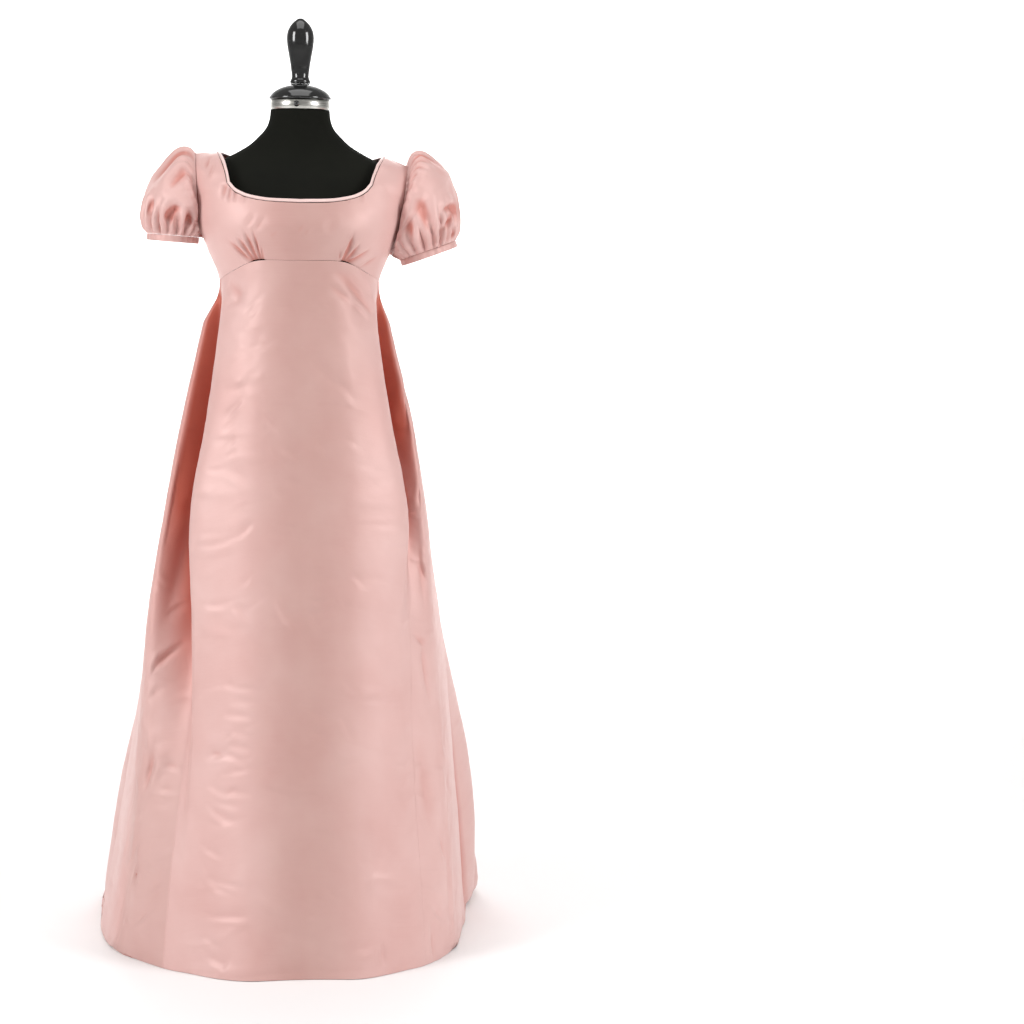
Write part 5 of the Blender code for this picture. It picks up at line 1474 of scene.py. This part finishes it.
def build_sleeves(look):
    along = np.linspace(0, 1, SLEEVE_ROWS)
    turns = np.linspace(0, 360, SLEEVE_SIDES, endpoint=False)
    turned = np.where(turns > 180, turns - 360, turns)
    held = smoothstep(0, SLEEVE_HELD, along) * (1 - smoothstep(1 - SLEEVE_HELD, 1, along))
    a, d = np.meshgrid(np.radians(turned) * SLEEVE_ARC, along * SLEEVE_LENGTH)
    cloth = np.stack([a, d], axis=-1).reshape(-1, 2)
    for side, name, creases in ((+1, "left", LEFT_SLEEVE_CREASES), (-1, "right", RIGHT_SLEEVE_CREASES)):
        grid, out = sleeve_rings(side, along)
        normals = grid_normals(grid, closed=True) * side
        rows = [(math.radians(r[0]) * SLEEVE_ARC, r[1] * SLEEVE_LENGTH,
                 math.radians(r[2]) * SLEEVE_ARC, r[3] * SLEEVE_LENGTH, *r[4:]) for r in creases]
        relief = crease_heights(a, d, rows)
        relief += soft_noise(a, d, *SLEEVE_SOFT[side])
        relief += crisp_noise(a, d, *SLEEVE_CRUMPLE[side])
        relief = relief * held[:, None]
        grid = clear_of_bodice(grid + normals * relief[:, :, None], side, along)
        normals = grid_normals(grid, closed=True)
        _, down, _ = cuff_frame(side)
        normals[0] = square_to(normals[0], out)
        normals[-1] = square_to(normals[-1], down)
        faces = grid_faces(SLEEVE_ROWS, SLEEVE_SIDES, closed=True)
        if side < 0:
            faces = [tuple(reversed(f)) for f in faces]
            normals = -normals
        # Painted shade: the deep colour where the sleeve's creases go in, and on its inner side.
        piece = add_shell("sleeve_" + name, grid.reshape(-1, 3), normals.reshape(-1, 3), faces, look,
                          cloth, painted_crease_shade(relief, *SLEEVE_CREASE_SHADE).ravel())
        build_sleeve_band(side, name, look)


def build_sleeve_band(side, name, look):
    across, deep = sleeve_at[side](1.0)[-2:]
    centre, down, up = cuff_frame(side)
    turns = turns_of(BAND_RINGS)
    round_out = oval(turns, up, 1.0, 1.0)
    ripple = BAND_RIPPLE * gather_wave(turns, CUFF_GATHERS, CUFF_SEED + side)
    path = centre + oval(turns, up, across, deep) + round_out * ripple[:, None]
    half = ((BAND_HEIGHT - SEAM_GAP) / 2, BAND_CLOTH / 2)
    corners = section(TUBE_SIDES, (SEAM_GAP + half[0], -half[1]), half, BAND_POWERS)
    faces, points = sweep(path, np.broadcast_to(down, path.shape), round_out, corners, closed=True)
    cloth = swept_cloth(turns * SLEEVE_ARC * BAND_ARC, np.arange(TUBE_SIDES) * BAND_STEP)
    piece = add_piece(f"sleeve_band_{name}_cloth", points, faces, look,
                      ["sleeve_band_" + name], cloth, np.full(len(points), BAND_DEEP))


# ---- Drawstring ----
def add_cord(name, route, look, replaced, count):
    path = spread(smooth_line(route, CORD_SAMPLES), count)
    curve = bpy.data.curves.new(name, "CURVE")
    curve.dimensions = "3D"
    curve.bevel_depth = CORD_DIAMETER / 2
    curve.bevel_resolution = 4
    curve.use_fill_caps = True
    line = curve.splines.new("POLY")
    line.points.add(count - 1)
    for point, place in zip(line.points, path):
        point.co = (*map(float, place), 1.0)
    curve.materials.append(look)
    cord = add_object(name, curve)
    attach(cord, "root")
    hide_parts(replaced)
    return cord, path


def build_knot(centre, way, look):
    """An overhand knot: the cord on a trefoil's line round the string's own line."""
    turns = turns_of(KNOT_RINGS)
    helper = unit(np.cross(way, np.array((0.0, 1.0, 0.3))))
    other = np.cross(way, helper)
    x = (np.sin(turns) + 2 * np.sin(2 * turns)) / 3
    y = (np.cos(turns) - 2 * np.cos(2 * turns)) / 3
    z = -np.sin(3 * turns)
    reach = KNOT_RADIUS - KNOT_STRAND
    path = centre + reach * (x[:, None] * helper + z[:, None] * KNOT_FLAT * other + y[:, None] * way)
    along = unit(np.roll(path, -1, 0) - np.roll(path, 1, 0))
    outwards = square_to(unit(path - centre), along)
    corners = section(KNOT_SIDES, (0.0, 0.0), (KNOT_STRAND, KNOT_STRAND))
    faces, points = sweep(path, np.cross(along, outwards), outwards, corners, closed=True)
    cloth = swept_cloth(path_lengths(path), np.arange(KNOT_SIDES) * KNOT_STEP)
    return add_piece("drawstring_knot_tied", points, faces, look, ["drawstring_knot"], cloth,
                     np.full(len(points), KNOT_DEEP))


def build_drawstring(look):
    ends, path = add_cord("drawstring_ends_cord", STRING_ENDS, look, "drawstring_ends", 120)
    way = unit(path[-1] - path[-2])
    knot = build_knot(path[-1] + way * (KNOT_RADIUS + SEAM_GAP), way, look)
    loop, path = add_cord("drawstring_loop_cord", STRING_LOOP, look, "drawstring_loop", 60)


# ---- Dress form ----
def add_turned(name, profile, look, replaced, sides=96, centre=(0.0, 0.0, 0.0), axis=(0.0, 0.0, 1.0)):
    """A solid turned about an axis, from rows of (distance along it, radius)."""
    axis = unit(np.array(axis, float))
    helper = np.array((1.0, 0, 0)) if abs(axis[0]) < 0.9 else np.array((0, 1.0, 0))
    first = unit(np.cross(helper, axis))
    second = np.cross(axis, first)
    turns = turns_of(sides)
    circle = np.cos(turns)[:, None] * first + np.sin(turns)[:, None] * second
    rings = [np.array(centre) + axis * along + circle * radius for along, radius in profile]
    points, faces = np.concatenate(rings), capped_faces(len(rings), sides)
    return add_piece(name, points, facing_out(points, faces), look, [replaced])


def build_form_body(look):
    foot, hip, top = FORM[0][0], FORM[2][0], FORM[-1][0]
    levels = np.concatenate([
        np.linspace(foot, hip, FORM_FOOT_RINGS)[:-1], np.linspace(hip, top, FORM_RINGS),
    ])
    half_width, front, back = np.moveaxis(through_rows(FORM)(levels), -1, 0)
    turns = turns_of(FORM_SIDES)
    s, c = np.sin(turns), np.cos(turns)
    rings = []
    for height, wide, fore, aft in zip(levels, half_width, front, back):
        depth = np.where(c > 0, fore, aft)
        rings.append(np.column_stack([wide * s, -depth * c, np.full(FORM_SIDES, height)]))
    points, faces = np.concatenate(rings), capped_faces(len(rings), FORM_SIDES)
    add_piece("form_body_jersey", points, facing_out(points, faces), look, ["form_body"])


def build_form(looks):
    build_form_body(looks["jersey"])
    add_turned("form_neck_band_metal", NECK_BAND, looks["metal"], "form_neck_band")
    add_turned("form_neck_cap_gloss", smooth_line(NECK_CAP, 40), looks["gloss"],
               "form_neck_cap")
    add_turned("form_handle_gloss", smooth_line(HANDLE, 60), looks["gloss"], "form_handle")
    add_turned("form_pole_steel", POLE, looks["steel"], "form_pole")
    add_turned("form_base_gloss", smooth_line(BASE, 30), looks["gloss"], "form_base")
    band_middle = (NECK_BAND[1][0] + NECK_BAND[2][0]) / 2
    knob_start = (-0.006, -NECK_BAND[1][1] - SEAM_GAP, band_middle)
    add_turned("form_band_knob_gloss", smooth_line(BAND_KNOB, 16), looks["gloss"],
               "form_band_knob", sides=48, centre=knob_start, axis=(0, -1, 0))


# ---- Materials ----
def new_look(name, colour, roughness, **sockets):
    look = bpy.data.materials.new(name)
    look.use_nodes = True
    shader = look.node_tree.nodes["Principled BSDF"]
    shader.inputs["Base Color"].default_value = (*colour, 1.0)
    shader.inputs["Roughness"].default_value = roughness
    for socket, value in sockets.items():
        shader.inputs[socket.replace("_", " ")].default_value = value
    return look, look.node_tree, shader


def node(tree, kind, **settings):
    made = tree.nodes.new(kind)
    for key, value in settings.items():
        setattr(made, key, value)
    return made


def scaled(tree, source, scale):
    """The coordinates, scaled each way."""
    mapping = node(tree, "ShaderNodeMapping")
    mapping.inputs["Scale"].default_value = scale
    tree.links.new(source, mapping.inputs["Vector"])
    return mapping.outputs["Vector"]


def noise(tree, source, scale, detail=2.0, kind="FBM", distortion=0.0):
    made = node(tree, "ShaderNodeTexNoise", noise_type=kind)
    made.inputs["Distortion"].default_value = distortion
    made.inputs["Scale"].default_value = 1.0
    made.inputs["Detail"].default_value = detail
    tree.links.new(scaled(tree, source, scale), made.inputs["Vector"])
    return made.outputs["Fac"]


def ranged(tree, source, low, high, to_low, to_high):
    made = node(tree, "ShaderNodeMapRange")
    for key, value in (("From Min", low), ("From Max", high), ("To Min", to_low), ("To Max", to_high)):
        made.inputs[key].default_value = value
    tree.links.new(source, made.inputs["Value"])
    return made.outputs["Result"]


def mixed(tree, factor, first, second, blend="MIX"):
    """Mixes colours, each an output or a colour."""
    made = node(tree, "ShaderNodeMix", data_type="RGBA", blend_type=blend)
    tree.links.new(factor, made.inputs["Factor"])
    for key, value in (("A", first), ("B", second)):
        socket = next(s for s in made.inputs if s.name == key and s.type == "RGBA")
        if isinstance(value, tuple):
            socket.default_value = (*value, 1.0)
        else:
            tree.links.new(value, socket)
    return next(s for s in made.outputs if s.type == "RGBA")


def bands(tree, source, direction, scale, distortion):
    made = node(tree, "ShaderNodeTexWave", wave_type="BANDS", bands_direction=direction)
    made.inputs["Scale"].default_value = scale
    made.inputs["Distortion"].default_value = distortion
    tree.links.new(source, made.inputs["Vector"])
    return made.outputs["Fac"]


def bump(tree, height, strength, distance, under=None):
    made = node(tree, "ShaderNodeBump")
    made.inputs["Strength"].default_value = strength
    made.inputs["Distance"].default_value = distance
    tree.links.new(height, made.inputs["Height"])
    if under is not None:
        tree.links.new(under, made.inputs["Normal"])
    return made.outputs["Normal"]


def taffeta(name, colour, pale, deep, roughness):
    """Silk taffeta: a fine plain weave with uneven weft threads, a broad soft sheen, and a warm deep
    colour painted as shade in its folds."""
    look, tree, shader = new_look(
        name, colour, roughness, Sheen_Weight=0.18, Sheen_Roughness=0.35, Metallic=0.10,
        Specular_IOR_Level=0.42,
    )
    shader.inputs["Sheen Tint"].default_value = (1.0, 0.86, 0.84, 1.0)
    cloth = node(tree, "ShaderNodeAttribute", attribute_name="cloth").outputs["Vector"]
    fold = node(tree, "ShaderNodeAttribute", attribute_name="fold").outputs["Fac"]
    cloud = noise(tree, cloth, (9.0, 7.0, 9.0), 3.0)
    slub = noise(tree, cloth, (14.0, 900.0, 1.0), 2.0)
    tint = mixed(tree, ranged(tree, cloud, 0.30, 0.70, 0.0, 1.0), colour, pale)
    threads = mixed(tree, ranged(tree, slub, 0.35, 0.65, 0.0, 0.16), tint, pale)
    # Painted shade: one attribute greys the middle of the front and the foot of the right side, and the
    # fold attribute mixes in the deep colour in creases, side valleys and on the cloth's inner side.
    painted_shade = node(tree, "ShaderNodeAttribute", attribute_name="painted_shade").outputs["Fac"]
    shade_greyed = mixed(tree, painted_shade, threads, PAINTED_SHADE_TINT, "MULTIPLY")
    shaded = mixed(tree, ranged(tree, fold, 0.05, 0.90, 0.0, 1.0), shade_greyed, deep)
    tree.links.new(shaded, shader.inputs["Base Color"])
    rough = noise(tree, cloth, (30.0, 60.0, 1.0), 2.0)
    uneven = ranged(tree, rough, 0.3, 0.7, roughness - 0.04, roughness + 0.05)
    tree.links.new(uneven, shader.inputs["Roughness"])
    crossed = node(tree, "ShaderNodeMath", operation="MULTIPLY")
    for socket, (direction, scale) in zip(crossed.inputs, (("X", 520.0), ("Y", 640.0))):
        tree.links.new(bands(tree, cloth, direction, scale, 0.6), socket)
    pressed = noise(tree, cloth, (7.0, 17.0, 1.0), 2.0, "RIDGED_MULTIFRACTAL", 1.1)
    crumple = noise(tree, cloth, (38.0, 60.0, 1.0), 4.0)
    normal = bump(tree, pressed, 0.75, 0.0060)
    normal = bump(tree, crumple, 0.35, 0.0016, normal)
    normal = bump(tree, slub, 0.22, 0.0004, normal)
    normal = bump(tree, crossed.outputs["Value"], 0.20, 0.0002, normal)
    tree.links.new(normal, shader.inputs["Normal"])
    return look


def cord_look(name, colour, pale):
    """A twisted cord: strands that run slantwise round it."""
    look, tree, shader = new_look(name, colour, 0.55, Sheen_Weight=0.3)
    place = node(tree, "ShaderNodeTexCoord").outputs["Object"]
    strands = bands(tree, place, "DIAGONAL", 260.0, 0.4)
    tree.links.new(mixed(tree, strands, colour, pale), shader.inputs["Base Color"])
    tree.links.new(bump(tree, strands, 0.6, 0.0004), shader.inputs["Normal"])
    return look


def jersey_look():
    """Black cotton jersey, fine vertical ribs of its knit and a little dust-grey variation."""
    look, tree, shader = new_look("black_jersey", BLACK_CLOTH, 0.88, Specular_IOR_Level=0.12)
    place = node(tree, "ShaderNodeTexCoord").outputs["Object"]
    cloud = noise(tree, place, (16.0, 16.0, 16.0), 3.0)
    share = ranged(tree, cloud, 0.3, 0.7, 0.0, 1.0)
    dusty = mixed(tree, share, (0.0045, 0.0048, 0.0032), (0.0080, 0.0084, 0.0060))
    tree.links.new(dusty, shader.inputs["Base Color"])
    knit = noise(tree, place, (700.0, 700.0, 420.0), 2.0)
    tree.links.new(ranged(tree, cloud, 0.3, 0.7, 0.82, 0.94), shader.inputs["Roughness"])
    tree.links.new(bump(tree, knit, 0.3, 0.0004), shader.inputs["Normal"])
    return look


def gloss_look():
    """Black lacquer with faint waviness."""
    look, tree, shader = new_look("black_gloss", BLACK_GLOSS, 0.10, Coat_Weight=0.6, Coat_Roughness=0.05)
    place = node(tree, "ShaderNodeTexCoord").outputs["Object"]
    smear = noise(tree, place, (60.0, 60.0, 60.0), 3.0)
    tree.links.new(ranged(tree, smear, 0.3, 0.7, 0.07, 0.16), shader.inputs["Roughness"])
    tree.links.new(
        mixed(tree, smear, (0.005, 0.005, 0.005), (0.012, 0.012, 0.012)), shader.inputs["Base Color"]
    )
    tree.links.new(bump(tree, smear, 0.05, 0.0010), shader.inputs["Normal"])
    return look


def metal_look(name, colour, roughness):
    """Turned metal with fine rings from its polishing."""
    look, tree, shader = new_look(name, colour, roughness, Metallic=1.0)
    place = node(tree, "ShaderNodeTexCoord").outputs["Object"]
    rings = noise(tree, place, (12.0, 12.0, 1500.0), 2.0)
    stain = noise(tree, place, (45.0, 45.0, 45.0), 3.0)
    darker = tuple(c * 0.7 for c in colour)
    stained = mixed(tree, ranged(tree, stain, 0.35, 0.75, 0.0, 1.0), colour, darker)
    tree.links.new(stained, shader.inputs["Base Color"])
    ringed = ranged(tree, rings, 0.3, 0.7, roughness - 0.06, roughness + 0.08)
    tree.links.new(ringed, shader.inputs["Roughness"])
    tree.links.new(bump(tree, rings, 0.12, 0.0003), shader.inputs["Normal"])
    return look


# ---- Stage, light and camera ----
def build_stage():
    """A pale floor that runs up into a backdrop."""
    look, tree, shader = new_look("studio_paper", (0.93, 0.93, 0.93), 0.9)
    place = node(tree, "ShaderNodeTexCoord").outputs["Object"]
    grain = noise(tree, place, (0.7, 0.7, 0.7), 2.0)
    tree.links.new(mixed(tree, grain, (0.92, 0.92, 0.92), (0.94, 0.94, 0.94)), shader.inputs["Base Color"])
    profile = [(PAPER_FRONT, 0.0)]
    for turn in np.linspace(0, math.pi / 2, BEND_STEPS):
        profile.append((PAPER_BACK + PAPER_BEND * math.sin(turn), PAPER_BEND * (1 - math.cos(turn))))
    profile.append((PAPER_BACK + PAPER_BEND, PAPER_TOP))
    edges = (-PAPER_HALF_WIDTH, PAPER_HALF_WIDTH)
    points = [(x, y, z - FLOOR_GAP) for x in edges for y, z in profile]
    count = len(profile)
    faces = [(i, count + i, count + i + 1, i + 1) for i in range(count - 1)]
    mesh = bpy.data.meshes.new("studio_backdrop")
    mesh.from_pydata(points, [], faces)
    mesh.shade_smooth()
    mesh.materials.append(look)
    backdrop = add_object("studio_backdrop", mesh)


def add_light(name, place, target, size, watts):
    light = bpy.data.lights.new(name, "AREA")
    light.shape = "RECTANGLE"
    light.size, light.size_y = size
    light.energy = watts
    lamp = add_object(name, light)
    lamp.location = place
    lamp.rotation_euler = (Vector(target) - Vector(place)).to_track_quat("-Z", "Y").to_euler()


def build_lights():
    for row in LIGHTS:
        add_light(*row)
    world = bpy.data.worlds.new("studio_air")
    world.use_nodes = True
    ground = world.node_tree.nodes["Background"]
    ground.inputs["Color"].default_value = (1.0, 0.99, 0.98, 1.0)
    ground.inputs["Strength"].default_value = AIR
    bpy.context.scene.world = world


def build_camera():
    lens = bpy.data.cameras.new("front_camera")
    lens.lens, lens.sensor_width = CAMERA_LENS, CAMERA_SENSOR
    lens.clip_start, lens.clip_end = CAMERA_SEES
    camera = add_object("front_camera", lens)
    camera.location = CAMERA_PLACE
    yaw, pitch, roll = (math.radians(a) for a in CAMERA_TURN)
    way = Vector((math.sin(yaw) * math.cos(pitch), math.cos(yaw) * math.cos(pitch), -math.sin(pitch)))
    camera.rotation_mode = "QUATERNION"
    camera.rotation_quaternion = way.to_track_quat("-Z", "Y") @ Quaternion((0.0, 0.0, 1.0), roll)
    bpy.context.scene.camera = camera


def main():
    bpy.context.scene.view_settings.view_transform = "Standard"
    build_camera()
    # The third colour of each taffeta is painted as shade in its folds; for the binding that is the gown's
    # own rose.
    rose = taffeta("rose_taffeta_silk", ROSE, ROSE_PALE, ROSE_FOLD_SHADE, 0.46)
    trim = taffeta("rose_binding_silk", TRIM, TRIM_PALE, ROSE, 0.48)
    cord = cord_look("rose_cord_twist", TRIM, TRIM_PALE)
    build_skirt(rose)
    build_bodice(rose)
    build_binding(trim)
    build_sleeves(rose)
    build_drawstring(cord)
    build_form({
        "jersey": jersey_look(),
        "gloss": gloss_look(),
        "metal": metal_look("band_metal", SILVER, 0.26),
        "steel": metal_look("pole_steel", POLE_STEEL, 0.34),
    })
    build_stage()
    build_lights()


main()
